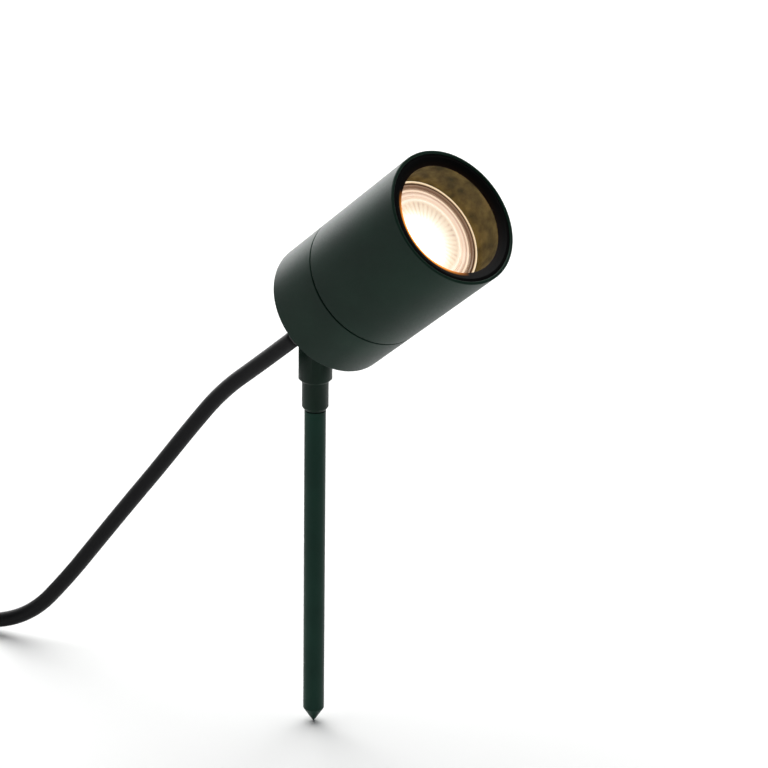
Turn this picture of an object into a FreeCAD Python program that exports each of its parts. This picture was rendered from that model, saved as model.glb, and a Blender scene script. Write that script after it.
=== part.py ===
"""Garden spike spotlight: a round aluminium head on a swivelling, tilting stem with a ground spike.

Millimetres. The origin is on the spike's axis at its top shoulder, +Z is up, and the head points
towards +X, raised by rest_tilt. The tilt axis runs along Y at pivot_height. Head pieces are drawn in
the head's own frame: Z along the head's axis, counted from the tilt axis towards the glass, Y across,
X towards the ground. Gland and plug pieces have frames of their own, set on their axes.
"""
import FreeCAD, Part
import math
import os
import Sketcher

Vector = FreeCAD.Vector
Rotation = FreeCAD.Rotation
Placement = FreeCAD.Placement

# Driving dimensions: name, value, what it is.
SIZES = [
    ("spike_diameter", 9.5, "round bar of the ground spike"),
    ("spike_length", 145.1, "parallel part of the spike"),
    ("point_length", 6.8, "cone at the spike's tip"),
    ("point_flat", 0.35, "radius of the blunt end of the tip"),
    ("spigot_diameter", 6.0, "pin on the spike's top that the stem turns on"),
    ("spigot_length", 12.5, "length of that pin"),
    ("spigot_edge", 0.5, "chamfer on the pin's end"),
    ("groove_depth", 0.6, "groove that the grub screw holds"),
    ("groove_width", 1.8, "width of that groove"),
    ("groove_height", 7.5, "height of the groove's middle"),
    ("running_gap", 0.05, "clearance of turning pieces, on each side"),
    ("swivel_washer_thickness", 0.4, "washer between spike and stem"),
    ("swivel_washer_diameter", 8.8, "its outside"),
    ("collar_diameter", 11.7, "narrow lower part of the stem"),
    ("collar_height", 13.5, "height of the collar's upper end"),
    ("collar_edge", 1.1, "how far the collar's lower edge is drawn in"),
    ("collar_edge_height", 1.6, "height of that bevel"),
    ("stem_diameter", 14.8, "wide upper part of the stem"),
    ("pivot_height", 41.6, "tilt axis above the spike's shoulder"),
    ("rest_tilt", 39.0, "degrees that the head is raised in the photograph"),
    ("tongue_thickness", 4.2, "tongue of the head's lug"),
    ("friction_washer_thickness", 0.5, "washers beside the tongue"),
    ("friction_washer_diameter", 11.0, "their outside"),
    ("fork_drop", 7.6, "floor of the stem's fork below the tilt axis"),
    ("tilt_screw_diameter", 4.0, "cross screw of the tilt joint"),
    ("tilt_screw_head_diameter", 7.6, "its button head"),
    ("tilt_screw_head_height", 2.2, "height of that head"),
    ("tilt_screw_dome_height", 1.5, "its domed part"),
    ("tilt_screw_top_diameter", 4.2, "its flat top"),
    ("tilt_screw_socket", 2.5, "hexagon socket across flats"),
    ("tilt_socket_depth", 1.3, "that socket's depth"),
    ("fork_ear", 2.4, "metal left between slot and screw head"),
    ("tilt_nut_flats", 7.0, "nut across flats"),
    ("tilt_nut_height", 2.5, "nut's height"),
    ("grub_diameter", 3.0, "grub screw that keeps the stem on the pin"),
    ("grub_point_diameter", 1.5, "its turned-down point"),
    ("grub_socket", 1.5, "hexagon socket across flats"),
    ("grub_socket_depth", 1.2, "that socket's depth"),
    ("tongue_radius", 6.5, "round end of the tongue"),
    ("lug_flange_length", 22.0, "flange of the lug, up and down the cap"),
    ("lug_flange_width", 12.0, "flange of the lug, across"),
    ("lug_flange_thickness", 3.0, "flange of the lug, thickness"),
    ("lug_screw_offset", 8.0, "lug screws from the head's axis"),
    ("small_screw_diameter", 3.0, "screws inside the head"),
    ("small_screw_head_diameter", 5.4, "their pan heads"),
    ("small_screw_head_height", 1.6, "height of those heads"),
    ("small_screw_edge_height", 0.8, "their straight edge"),
    ("small_screw_top_diameter", 3.5, "their flat top"),
    ("screw_clearance", 0.1, "hole round a screw, on each side"),
    ("rear_gap", 13.2, "tilt axis to the rear face"),
    ("cap_length", 29.4, "rear cap from rear face to seam"),
    ("barrel_length", 60.6, "barrel from seam to front rim"),
    ("cap_floor", 4.0, "thickness of the cap's rear wall"),
    ("cap_edge", 0.7, "chamfer round the cap's rear edge"),
    ("seam_edge", 0.25, "chamfers that make the seam's groove"),
    ("barrel_wall", 3.0, "wall of the barrel"),
    ("spigot_fit", 0.25, "cap's spigot in the barrel, gap on each side"),
    ("cap_spigot_length", 9.0, "spigot that enters the barrel"),
    ("spigot_wall", 3.35, "spigot's wall, from the cap's cavity"),
    ("o_ring_section", 2.0, "thickness of the seam's O-ring"),
    ("o_ring_setback", 4.4, "O-ring's middle from the seam"),
    ("o_ring_slack", 0.2, "room beside the O-ring in its groove"),
    ("rim_edge", 0.3, "chamfer on the front rim"),
    ("lip", 1.4, "wall left round the front recess"),
    ("bezel_setback", 0.5, "bezel ring behind the rim"),
    ("bezel_width", 4.6, "bezel ring from its thread to its opening"),
    ("bezel_land", 1.4, "flat part of its front"),
    ("bezel_inner_setback", 1.85, "bezel's inner edge behind the rim"),
    ("bezel_back", 2.5, "bezel's rear face behind the rim"),
    ("glass_thickness", 3.5, "front glass"),
    ("glass_gap", 0.3, "glass to barrel, on each side"),
    ("gasket_thickness", 1.0, "flat gasket under the glass"),
    ("gland_across", -15.0, "gland's axis across the head"),
    ("gland_down", 4.65, "gland's axis below the head's axis"),
    ("gland_flats", 12.0, "gland's hexagons across flats"),
    ("gland_thread_diameter", 10.0, "gland's thread in the cap"),
    ("gland_thread_length", 4.7, "length of that thread"),
    ("gland_hex_height", 3.5, "fixed hexagon of the gland"),
    ("gland_neck_diameter", 9.4, "thread under the gland's nut"),
    ("gland_neck_length", 8.0, "end of the neck behind the cap"),
    ("gland_seal_length", 1.5, "seal pressed round the cord"),
    ("gland_length", 10.5, "gland's mouth behind the cap"),
    ("gland_mouth_diameter", 10.0, "small end of the nut"),
    ("gland_bore_gap", 0.15, "gland's bore round the cord, on each side"),
    ("cord_diameter", 7.2, "rubber cord"),
    ("cord_inside", 8.7, "cord's sheath inside the head"),
    ("lamp_diameter", 50.0, "reflector lamp, which sets the head's diameter"),
    ("lamp_room", 2.0, "lamp to barrel, on each side"),
    ("lamp_stand", 13.3, "lamp's base from the cap's rear wall"),
    ("lamp_length", 53.0, "lamp from rim to base"),
    ("lamp_base_diameter", 17.0, "lamp's base"),
    ("lamp_waist_diameter", 26.0, "lamp where it starts to flare"),
    ("lamp_waist_height", 17.5, "that place above the base"),
    ("lamp_neck_height", 6.1, "straight part of the lamp above its base"),
    ("lamp_shell", 1.4, "wall of the lamp's body"),
    ("lamp_rim_height", 3.4, "clear ring round the lamp's front"),
    ("lamp_rim_width", 2.4, "its width"),
    ("lens_thickness", 3.0, "lamp's front lens"),
    ("lens_setback", 1.2, "lens behind the lamp's rim"),
    ("led_board_diameter", 26.0, "disc that carries the diodes"),
    ("led_board_thickness", 1.6, "its thickness"),
    ("led_board_height", 26.0, "its place above the lamp's base"),
    ("pin_spacing", 10.0, "lamp's two pins, middle to middle"),
    ("pin_shank_diameter", 3.2, "their shanks"),
    ("pin_head_diameter", 5.0, "their heads"),
    ("pin_shank_length", 4.5, "shank behind the base"),
    ("pin_head_height", 2.5, "thickness of the heads"),
    ("twist_angle", 25.0, "degrees that lock the lamp"),
    ("keyhole_gap", 0.3, "keyholes round shank and head, on each side"),
    ("holder_diameter", 22.0, "ceramic lamp holder"),
    ("holder_wall", 2.4, "its side wall"),
    ("holder_top", 2.2, "its front wall, which has the keyholes"),
    ("holder_height", 9.0, "its height"),
    ("holder_base_thickness", 0.9, "insulating disc that closes it"),
    ("contact_thickness", 0.9, "brass contacts under the pins"),
    ("contact_length", 5.0, "their length"),
    ("contact_width", 3.6, "their width"),
    ("bracket_width", 10.0, "steel bracket under the holder"),
    ("bracket_thickness", 1.2, "its thickness"),
    ("bracket_foot", 6.0, "length of each foot"),
    ("terminal_width", 18.0, "terminal block, across"),
    ("terminal_depth", 7.4, "terminal block, front to back"),
    ("terminal_height", 10.0, "terminal block, height"),
    ("terminal_offset", 13.2, "its near face from the head's axis"),
    ("terminal_pitch", 5.6, "middle to middle of its ways"),
    ("wire_diameter", 2.2, "insulated wires inside the head"),
    ("plug_diameter", 37.0, "mains plug at its face"),
    ("plug_body_length", 36.0, "its moulded body"),
    ("plug_neck_diameter", 17.0, "the body's narrow end"),
    ("boot_length", 30.0, "tapered strain relief of the plug"),
    ("boot_diameter", 10.4, "its small end"),
    ("boot_end_diameter", 15.3, "its large end"),
    ("plug_shoulder_diameter", 20.4, "body after its narrow end"),
    ("plug_shoulder_length", 7.2, "as far as there"),
    ("plug_grip_diameter", 23.8, "body at the end of the finger grip"),
    ("plug_grip_length", 16.2, "as far as there"),
    ("plug_flare_length", 25.9, "as far as the full diameter"),
    ("plug_edge", 1.0, "bevel round the plug's face"),
    ("plug_pin_nose", 1.5, "tapered end of a pin"),
    ("plug_pin_tip_diameter", 2.9, "its flat end"),
    ("plug_pin_diameter", 4.8, "contact pins"),
    ("plug_pin_length", 19.0, "their length"),
    ("plug_pin_spacing", 19.0, "middle to middle"),
    ("earth_clip_width", 5.0, "earth strips at the plug's edge"),
    ("earth_clip_thickness", 0.5, "their thickness"),
    ("earth_clip_sunk", 0.3, "their outside below the plug's surface"),
    ("earth_clip_length", 15.0, "their length"),
    ("coil_radius", 47.0, "largest turn of the put-away cord"),
    ("coil_gap", 0.5, "between turns and between layers"),
    ("tie_thickness", 0.8, "strap that ties the coil"),
    ("tie_width", 9.0, "its width"),
    ("tie_corner", 1.0, "rounding of its outer corners"),
    ("grub_sunk", 0.25, "grub screw's end below the collar's surface"),
    ("tongue_root", 1.5, "how deep the tongue runs into its flange"),
    ("lug_thread_depth", 2.4, "threads for the lug screws"),
    ("lug_screw_length", 6.1, "shank of the lug screws"),
    ("bracket_screw_length", 4.0, "shank of the bracket screws"),
    ("earth_screw_length", 2.8, "shank of the earth screw"),
    ("floor_thread_depth", 3.0, "blind threads in the cap's rear wall"),
    ("earth_screw_up", 14.5, "earth screw from the head's axis, upwards"),
    ("earth_screw_across", 9.0, "earth screw from the head's axis, towards the gland"),
    ("bracket_leg_gap", 1.0, "bracket's legs clear of the holder"),
    ("board_seat_rim", 1.0, "lamp's step that carries the board, wider than it"),
    ("wire_entry_depth", 5.0, "wire holes in the top of the terminal block"),
    ("lead_entry_depth", 3.0, "lead holes in its near side"),
    ("lead_height", 8.0, "lamp leads above the cap's rear wall"),
    ("terminal_screw_height", 0.8, "terminal screws above the block"),
    ("wire_wall_gap", 5.5, "wires' middles inside the cap's wall"),
    ("wire_ring", 1.5, "middles of the three wires from the cord's middle"),
    ("wire_bend", 3.0, "radius of the wires' bends"),
    ("wire_height", 16.2, "wires' level round the lamp, above the cap's rear wall"),
    ("wire_lift", 3.0, "neutral wire above the other two"),
    ("cord_straight", 30.0, "first stretch of the cord, in line with the gland"),
    ("tail_straight", 10.0, "cord between the coil and the plug"),
    ("earth_clip_gap", 1.2, "earth strips stop short of the plug's face"),
]

# The cord's free route from the gland to the coil, chosen by eye, after its first two points,
# which follow from the gland. The last four lie on the ground.
LEAD_ROUTE = [
    (-41.8, -17.1, 1.9),
    (-61.1, -19.5, -21.1),
    (-79.6, -22.6, -44.8),
    (-97.9, -26.5, -67.9),
    (-115.4, -31.0, -91.0),
    (-132.0, -35.8, -113.4),
    (-151.5, -42.3, -137.0),
    (-175.0, -51.6, -147.5),
    (-200.0, -61.2, -147.5),
    (-230.0, -67.6, -147.5),
    (-287.3, -67.6, -147.5),
]
IN_TURNS = 5       # half turns of the coil's lower layer, winding inwards
OUT_TURNS = 2      # half turns of its upper layer, winding outwards

doc = FreeCAD.newDocument("garden_spotlight")
sheet = doc.addObject("Spreadsheet::Sheet", "sizes")
for row, (name, value, note) in enumerate(SIZES, start=1):
    sheet.set("A%d" % row, name)
    sheet.set("B%d" % row, str(value))
    sheet.set("C%d" % row, note)
    sheet.setAlias("B%d" % row, name)
doc.recompute()

HEAD = "placement(vector(0; 0; sizes.pivot_height); rotation(vector(0; 1; 0); 90 - sizes.rest_tilt))"
GLAND = HEAD + " * placement(vector(sizes.gland_down; sizes.gland_across; sizes.rear_gap);" \
    " rotation(vector(0; 0; 1); 0))"
ALONG_Y = "placement(vector(0; 0; sizes.pivot_height); rotation(vector(1; 0; 0); -90))"
RADIAL = "placement(vector(0; 0; sizes.groove_height); rotation(vector(0; 1; 0); -90))"

# Levels along the head's axis, from the tilt axis.
SEAM = "(sizes.rear_gap + sizes.cap_length)"
RIM = "(sizes.rear_gap + sizes.cap_length + sizes.barrel_length)"
FLOOR = "(sizes.rear_gap + sizes.cap_floor)"
BARREL_BORE = "(sizes.lamp_diameter / 2 + sizes.lamp_room)"
HEAD_RADIUS = "(%s + sizes.barrel_wall)" % BARREL_BORE
RECESS = "(%s - sizes.lip)" % HEAD_RADIUS
CAVITY = "(%s - sizes.spigot_fit - sizes.spigot_wall)" % BARREL_BORE
GLASS_TOP = "(%s - sizes.bezel_back)" % RIM
GASKET_TOP = "(%s - sizes.glass_thickness)" % GLASS_TOP
SHOULDER = "(%s - sizes.gasket_thickness)" % GASKET_TOP
LAMP_BASE = "(%s + sizes.lamp_stand)" % FLOOR
LAMP_TOP = "(%s + sizes.lamp_length)" % LAMP_BASE
HOLDER_TOP = "(%s - sizes.running_gap)" % LAMP_BASE
HOLDER_BOTTOM = "(%s - sizes.holder_height)" % HOLDER_TOP
FORK = "(sizes.tongue_thickness / 2 + sizes.friction_washer_thickness + sizes.running_gap)"
HEAD_SEAT = "(%s + sizes.fork_ear)" % FORK
STEM_FOOT = "(sizes.swivel_washer_thickness + sizes.running_gap)"

# Places in the head's frame that two or more pieces share, as X and Y.
LUG_SCREWS = [("sizes.lug_screw_offset", "0"), ("-sizes.lug_screw_offset", "0")]
FOOT = "(sizes.holder_diameter / 2 + sizes.bracket_leg_gap + sizes.bracket_foot / 2)"
BRACKET_SCREWS = [(FOOT, "0"), ("-" + FOOT, "0")]
EARTH_SCREW = [("-sizes.earth_screw_up", "-sizes.earth_screw_across")]
ENTRY_ROW = "(sizes.terminal_offset + sizes.wire_diameter)"
WIRE_ENTRIES = [("%d * sizes.terminal_pitch" % way, ENTRY_ROW) for way in (-1, 0, 1)]
# The lamp's leads, as X and level.
LEAD_PLACES = [("-sizes.terminal_pitch / 2", FLOOR + " + sizes.lead_height"),
               ("sizes.terminal_pitch / 2", FLOOR + " + sizes.lead_height")]

nodes = {}


def number(expression):
    """Value of an expression of the sheet's sizes."""
    return float(sheet.evalExpression(expression))


def new_body(name, where=None):
    """Empty body with its own origin, set in the frame that the placement expression gives."""
    body = doc.addObject("PartDesign::Body", name)
    body.Label = name
    if where:
        body.setExpression("Placement", where)
    return body


def new_sketch(body, name, role, level):
    """Sketch on one of the body's own planes, shifted along its normal by level."""
    sketch = body.newObject("Sketcher::SketchObject", name)
    plane = [item for item in body.Origin.OriginFeatures if item.Role == role][0]
    sketch.AttachmentSupport = [(plane, "")]
    sketch.MapMode = "FlatFace"
    if level:
        sketch.setExpression("AttachmentOffset.Base.z", level)
    return sketch


def pin_point(sketch, geometry, corner, place):
    """Ties one point of the sketch to the origin by two expressions."""
    for kind, expression in zip(("DistanceX", "DistanceY"), place):
        value = number(expression)
        index = sketch.addConstraint(Sketcher.Constraint(kind, -1, 1, geometry, corner, value))
        sketch.setExpression("Constraints[%d]" % index, expression)


def arc_between(start, end, centre_x):
    """Arc of under a half circle from start to end, its centre on the line x = centre_x."""
    (x0, y0), (x1, y1) = start, end
    side = (x0 - centre_x) ** 2 - (x1 - centre_x) ** 2
    centre_y = (side + y0 * y0 - y1 * y1) / (2 * (y0 - y1))
    radius = math.hypot(x0 - centre_x, y0 - centre_y)
    angle0 = math.atan2(y0 - centre_y, x0 - centre_x)
    angle1 = math.atan2(y1 - centre_y, x1 - centre_x)
    forward = (angle1 - angle0) % (2 * math.pi) < math.pi
    if not forward:
        angle0, angle1 = angle1, angle0
    circle = Part.Circle(Vector(centre_x, centre_y, 0), Vector(0, 0, 1), radius)
    return Part.ArcOfCircle(circle, angle0, angle1), forward


def outline(body, name, role, points, level=None):
    """Closed outline. A third item in a point makes an arc to the next point, whose centre
    has that distance from the vertical axis."""
    sketch = new_sketch(body, name, role, level)
    spots = [(number(point[0]), number(point[1])) for point in points]
    count = len(points)
    ends = []
    for index in range(count):
        start, end = spots[index], spots[(index + 1) % count]
        if len(points[index]) == 3:
            curve, forward = arc_between(start, end, number(points[index][2]))
            ends.append((1, 2) if forward else (2, 1))
        else:
            curve = Part.LineSegment(Vector(start[0], start[1], 0), Vector(end[0], end[1], 0))
            ends.append((1, 2))
        sketch.addGeometry(curve, False)
    for index in range(count):
        following = (index + 1) % count
        sketch.addConstraint(Sketcher.Constraint(
            "Coincident", index, ends[index][1], following, ends[following][0]))
    for index, point in enumerate(points):
        pin_point(sketch, index, ends[index][0], point[:2])
        if len(point) == 3:
            centre = Sketcher.Constraint("DistanceX", -1, 1, index, 3, number(point[2]))
            sketch.setExpression("Constraints[%d]" % sketch.addConstraint(centre), point[2])
    return sketch


def circles(body, name, role, places, radius, level=None):
    """Sketch of equal circles round the given places."""
    sketch = new_sketch(body, name, role, level)
    for index, place in enumerate(places):
        middle = Vector(number(place[0]), number(place[1]), 0)
        sketch.addGeometry(Part.Circle(middle, Vector(0, 0, 1), number(radius)), False)
        pin_point(sketch, index, 3, place)
        size = Sketcher.Constraint("Radius", index, number(radius))
        sketch.setExpression("Constraints[%d]" % sketch.addConstraint(size), radius)
    return sketch


def hexagon(flats, x="0", y="0"):
    """Corners of a hexagon of that width across flats."""
    corner = "%s / (2 * cos(30 deg))" % flats
    return [("%s + %s * cos(%d deg)" % (x, corner, turn), "%s + %s * sin(%d deg)" % (y, corner, turn))
            for turn in range(0, 360, 60)]


def rectangle(x0, y0, x1, y1):
    """Corners of an upright rectangle."""
    return [(x0, y0), (x1, y0), (x1, y1), (x0, y1)]


def revolve(body, name, sketch):
    """Turns the sketch round the body's Z axis."""
    feature = body.newObject("PartDesign::Revolution", name)
    feature.Profile = sketch
    feature.ReferenceAxis = (sketch, ["V_Axis"])
    feature.Angle = 360
    return feature


def pad(body, name, sketch, length):
    """Adds metal along the sketch's normal."""
    feature = body.newObject("PartDesign::Pad", name)
    feature.Profile = sketch
    feature.setExpression("Length", length)
    return feature


def pocket(body, name, sketch, depth, forward=False):
    """Cuts against the sketch's normal, or along it when forward."""
    feature = body.newObject("PartDesign::Pocket", name)
    feature.Profile = sketch
    feature.setExpression("Length", depth)
    feature.Reversed = forward
    return feature


def turned(name, points, where=None):
    """A turned piece: its half profile as radius and height."""
    body = new_body(name, where)
    revolve(body, name + "_turned", outline(body, name + "_profile", "XZ_Plane", points))
    return body


def ring(name, inner, outer, low, high, where=None):
    """A plain ring or washer."""
    return turned(name, rectangle(inner, low, outer, high), where)


def keep(name, shape_object):
    """Enters an object as a piece of its own."""
    shape_object.Label = name
    nodes[name] = shape_object
    return shape_object


def group(name, bodies):
    """Identical fasteners or contacts as one piece of separate solids."""
    compound = doc.addObject("Part::Compound", name)
    compound.Links = bodies
    return keep(name, compound)


# ---------------------------------------------------------------- spike and stem

def make_spike():
    """Round bar with a turned point, and a grooved pin on top for the stem."""
    spike = "sizes.spike_diameter / 2"
    pin = "sizes.spigot_diameter / 2"
    groove = "sizes.spigot_diameter / 2 - sizes.groove_depth"
    low = "sizes.groove_height - sizes.groove_width / 2"
    high = "sizes.groove_height + sizes.groove_width / 2"
    keep("ground_spike", turned("ground_spike", [
        ("0", "-sizes.spike_length - sizes.point_length"),
        ("sizes.point_flat", "-sizes.spike_length - sizes.point_length"),
        (spike, "-sizes.spike_length"),
        (spike, "0"),
        (pin, "0"),
        (pin, low),
        (groove, low),
        (groove, high),
        (pin, high),
        (pin, "sizes.spigot_length - sizes.spigot_edge"),
        (pin + " - sizes.spigot_edge", "sizes.spigot_length"),
        ("0", "sizes.spigot_length")]))
    keep("swivel_washer", ring("swivel_washer", pin + " + sizes.running_gap",
                               "sizes.swivel_washer_diameter / 2", "0", "sizes.swivel_washer_thickness"))


def make_stem():
    """Stem that turns on the spike: collar below, forked round head above."""
    bore = "sizes.spigot_diameter / 2 + sizes.running_gap"
    bore_top = STEM_FOOT + " + sizes.spigot_length"
    collar = "sizes.collar_diameter / 2"
    stem = "sizes.stem_diameter / 2"
    outside = "sizes.stem_diameter / 2 + 1"
    body = turned("swivel_stem", [
        (bore, STEM_FOOT),
        (collar + " - sizes.collar_edge", STEM_FOOT),
        (collar, STEM_FOOT + " + sizes.collar_edge_height"),
        (collar, "sizes.collar_height"),
        (stem, "sizes.collar_height + %s - %s" % (stem, collar)),
        (stem, "sizes.pivot_height", "0"),
        ("0", "sizes.pivot_height + " + stem),
        ("0", bore_top),
        (bore, bore_top)])
    slot = outline(body, "fork_outline", "YZ_Plane", rectangle(
        "-" + FORK, "sizes.pivot_height - sizes.fork_drop", FORK, "sizes.pivot_height + " + outside), outside)
    pocket(body, "fork_slot", slot, "2 * (%s)" % outside)
    screw = "sizes.tilt_screw_diameter / 2 + sizes.running_gap"
    middle = [("0", "sizes.pivot_height")]
    hole = circles(body, "tilt_hole_outline", "XZ_Plane", middle, screw, outside)
    pocket(body, "tilt_hole", hole, "2 * (%s)" % outside)
    seat = circles(body, "head_seat_outline", "XZ_Plane", middle,
                   "sizes.tilt_screw_head_diameter / 2 + sizes.screw_clearance", outside)
    pocket(body, "head_seat", seat, "%s - %s" % (outside, HEAD_SEAT))
    nut = outline(body, "nut_seat_outline", "XZ_Plane", hexagon(
        "(sizes.tilt_nut_flats + 2 * sizes.screw_clearance)", "0", "sizes.pivot_height"), "-" + HEAD_SEAT)
    pocket(body, "nut_seat", nut, "%s - %s" % (outside, HEAD_SEAT))
    grub = circles(body, "grub_hole_outline", "YZ_Plane", [("0", "sizes.groove_height")],
                   "sizes.grub_diameter / 2")
    pocket(body, "grub_hole", grub, outside)
    keep("swivel_stem", body)


def make_grub_screw():
    """Grub screw whose point runs in the pin's groove."""
    tip = "sizes.spigot_diameter / 2 - sizes.groove_depth + sizes.screw_clearance"
    step = "sizes.spigot_diameter / 2 + sizes.screw_clearance"
    end = "(sizes.collar_diameter / 2 - sizes.grub_sunk)"
    body = turned("stem_grub_screw", [
        ("0", tip),
        ("sizes.grub_point_diameter / 2", tip),
        ("sizes.grub_point_diameter / 2", step),
        ("sizes.grub_diameter / 2", step),
        ("sizes.grub_diameter / 2", end),
        ("0", end)], RADIAL)
    socket = outline(body, "grub_socket_outline", "XY_Plane", hexagon("sizes.grub_socket"), end)
    pocket(body, "grub_socket", socket, "sizes.grub_socket_depth")
    keep("stem_grub_screw", body)


def make_tilt_fasteners():
    """Cross screw, nut and two washers that clamp the tongue in the fork."""
    shank = "sizes.tilt_screw_diameter / 2"
    head = "sizes.tilt_screw_head_diameter / 2"
    top = "-(%s + sizes.tilt_screw_head_height)" % HEAD_SEAT
    end = "%s + sizes.tilt_nut_height" % HEAD_SEAT
    screw = turned("tilt_screw", [
        ("0", top),
        ("sizes.tilt_screw_top_diameter / 2", top),
        (head, top + " + sizes.tilt_screw_dome_height"),
        (head, "-" + HEAD_SEAT),
        (shank, "-" + HEAD_SEAT),
        (shank, end),
        ("0", end)], ALONG_Y)
    socket = outline(screw, "tilt_socket_outline", "XY_Plane", hexagon("sizes.tilt_screw_socket"), top)
    pocket(screw, "tilt_socket", socket, "sizes.tilt_socket_depth", forward=True)
    keep("tilt_screw", screw)
    nut = new_body("tilt_nut", ALONG_Y)
    blank = outline(nut, "tilt_nut_outline", "XY_Plane", hexagon("sizes.tilt_nut_flats"), HEAD_SEAT)
    pad(nut, "tilt_nut_blank", blank, "sizes.tilt_nut_height")
    bore = circles(nut, "tilt_nut_bore_outline", "XY_Plane", [("0", "0")], shank, end)
    pocket(nut, "tilt_nut_bore", bore, "sizes.tilt_nut_height")
    keep("tilt_nut", nut)
    near, far = FORK, "(%s - sizes.friction_washer_thickness)" % FORK
    for name, low, high in (("friction_washer_left", "-" + near, "-" + far),
                            ("friction_washer_right", far, near)):
        keep(name, ring(name, shank + " + sizes.running_gap", "sizes.friction_washer_diameter / 2",
                        low, high, ALONG_Y))


# ---------------------------------------------------------------- head

def oblong(length, width):
    """Outline with straight sides and round ends."""
    end = "(%s - %s) / 2" % (length, width)
    half, side = "%s / 2" % length, "%s / 2" % width
    return [(end, "-" + side, end), (half, "0", end), (end, side),
            ("-" + end, side, "-" + end), ("-" + half, "0", "-" + end), ("-" + end, "-" + side)]


def make_lug():
    """Lug on the rear cap: an oblong flange with a round-ended tongue that the fork holds."""
    body = new_body("tilt_lug", HEAD)
    flange = outline(body, "flange_outline", "XY_Plane",
                     oblong("sizes.lug_flange_length", "sizes.lug_flange_width"),
                     "sizes.rear_gap - sizes.lug_flange_thickness")
    pad(body, "flange", flange, "sizes.lug_flange_thickness")
    root = "sizes.rear_gap - sizes.lug_flange_thickness + sizes.tongue_root"
    tongue = outline(body, "tongue_outline", "XZ_Plane", [
        ("sizes.tongue_radius", root),
        ("sizes.tongue_radius", "0", "0"),
        ("0", "-sizes.tongue_radius", "0"),
        ("-sizes.tongue_radius", "0"),
        ("-sizes.tongue_radius", root)], "-sizes.tongue_thickness / 2")
    pad(body, "tongue", tongue, "sizes.tongue_thickness")
    hole = circles(body, "tongue_hole_outline", "XZ_Plane", [("0", "0")],
                   "sizes.tilt_screw_diameter / 2 + sizes.running_gap", "sizes.tongue_thickness")
    pocket(body, "tongue_hole", hole, "2 * sizes.tongue_thickness")
    threads = circles(body, "lug_thread_outline", "XY_Plane", LUG_SCREWS,
                      "sizes.small_screw_diameter / 2", "sizes.rear_gap")
    pocket(body, "lug_threads", threads, "sizes.lug_thread_depth")
    keep("tilt_lug", body)


def head_place(x, y, level):
    """Placement expression for a piece whose own axis stands at x, y, level in the head's frame."""
    return HEAD + " * placement(vector(%s; %s; %s); rotation(vector(0; 0; 1); 0))" % (x, y, level)


def pan_screws(name, places, level, shank_length):
    """Pan-head screws under equal heads that sit on level and point to the rear."""
    head = "sizes.small_screw_head_diameter / 2"
    shank = "sizes.small_screw_diameter / 2"
    high = "sizes.small_screw_head_height"
    screws = []
    for index, (x, y) in enumerate(places, start=1):
        screw = turned("%s_%d" % (name, index), [
            ("0", "-" + shank_length),
            (shank, "-" + shank_length),
            (shank, "0"),
            (head, "0"),
            (head, "sizes.small_screw_edge_height"),
            ("sizes.small_screw_top_diameter / 2", high),
            ("0", high)], head_place(x, y, level))
        screws.append(screw)
    if len(screws) == 1:
        return keep(name, screws[0])
    return group(name, screws)


def make_rear_cap():
    """Turned rear cap: closed end, deep cavity, grooved spigot that enters the barrel."""
    outer = HEAD_RADIUS
    cavity = CAVITY
    spigot = BARREL_BORE + " - sizes.spigot_fit"
    groove = "(%s - sizes.running_gap - sizes.o_ring_section)" % BARREL_BORE
    half = "(sizes.o_ring_section + sizes.o_ring_slack) / 2"
    middle = SEAM + " + sizes.o_ring_setback"
    end = SEAM + " + sizes.cap_spigot_length"
    body = turned("rear_cap", [
        ("0", "sizes.rear_gap"),
        (outer + " - sizes.cap_edge", "sizes.rear_gap"),
        (outer, "sizes.rear_gap + sizes.cap_edge"),
        (outer, SEAM + " - sizes.seam_edge"),
        (outer + " - sizes.seam_edge", SEAM),
        (spigot, SEAM),
        (spigot, middle + " - " + half),
        (groove, middle + " - " + half),
        (groove, middle + " + " + half),
        (spigot, middle + " + " + half),
        (spigot, end + " - sizes.seam_edge"),
        (spigot + " - sizes.seam_edge", end),
        (cavity, end),
        (cavity, FLOOR),
        ("0", FLOOR)], HEAD)
    gland = circles(body, "gland_hole_outline", "XY_Plane", [("sizes.gland_down", "sizes.gland_across")],
                    "sizes.gland_thread_diameter / 2", FLOOR)
    pocket(body, "gland_hole", gland, "sizes.cap_floor")
    clearance = "sizes.small_screw_diameter / 2 + sizes.screw_clearance"
    lug = circles(body, "lug_hole_outline", "XY_Plane", LUG_SCREWS, clearance, FLOOR)
    pocket(body, "lug_holes", lug, "sizes.cap_floor")
    threads = circles(body, "floor_thread_outline", "XY_Plane",
                      BRACKET_SCREWS + EARTH_SCREW, "sizes.small_screw_diameter / 2", FLOOR)
    pocket(body, "floor_threads", threads, "sizes.floor_thread_depth")
    keep("rear_cap", body)
    ring_middle = BARREL_BORE + " - sizes.running_gap - sizes.o_ring_section / 2"
    seal = new_body("seam_o_ring", HEAD)
    section = circles(seal, "o_ring_outline", "XZ_Plane", [(ring_middle, middle)], "sizes.o_ring_section / 2")
    revolve(seal, "o_ring_turned", section)
    keep("seam_o_ring", seal)


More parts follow.
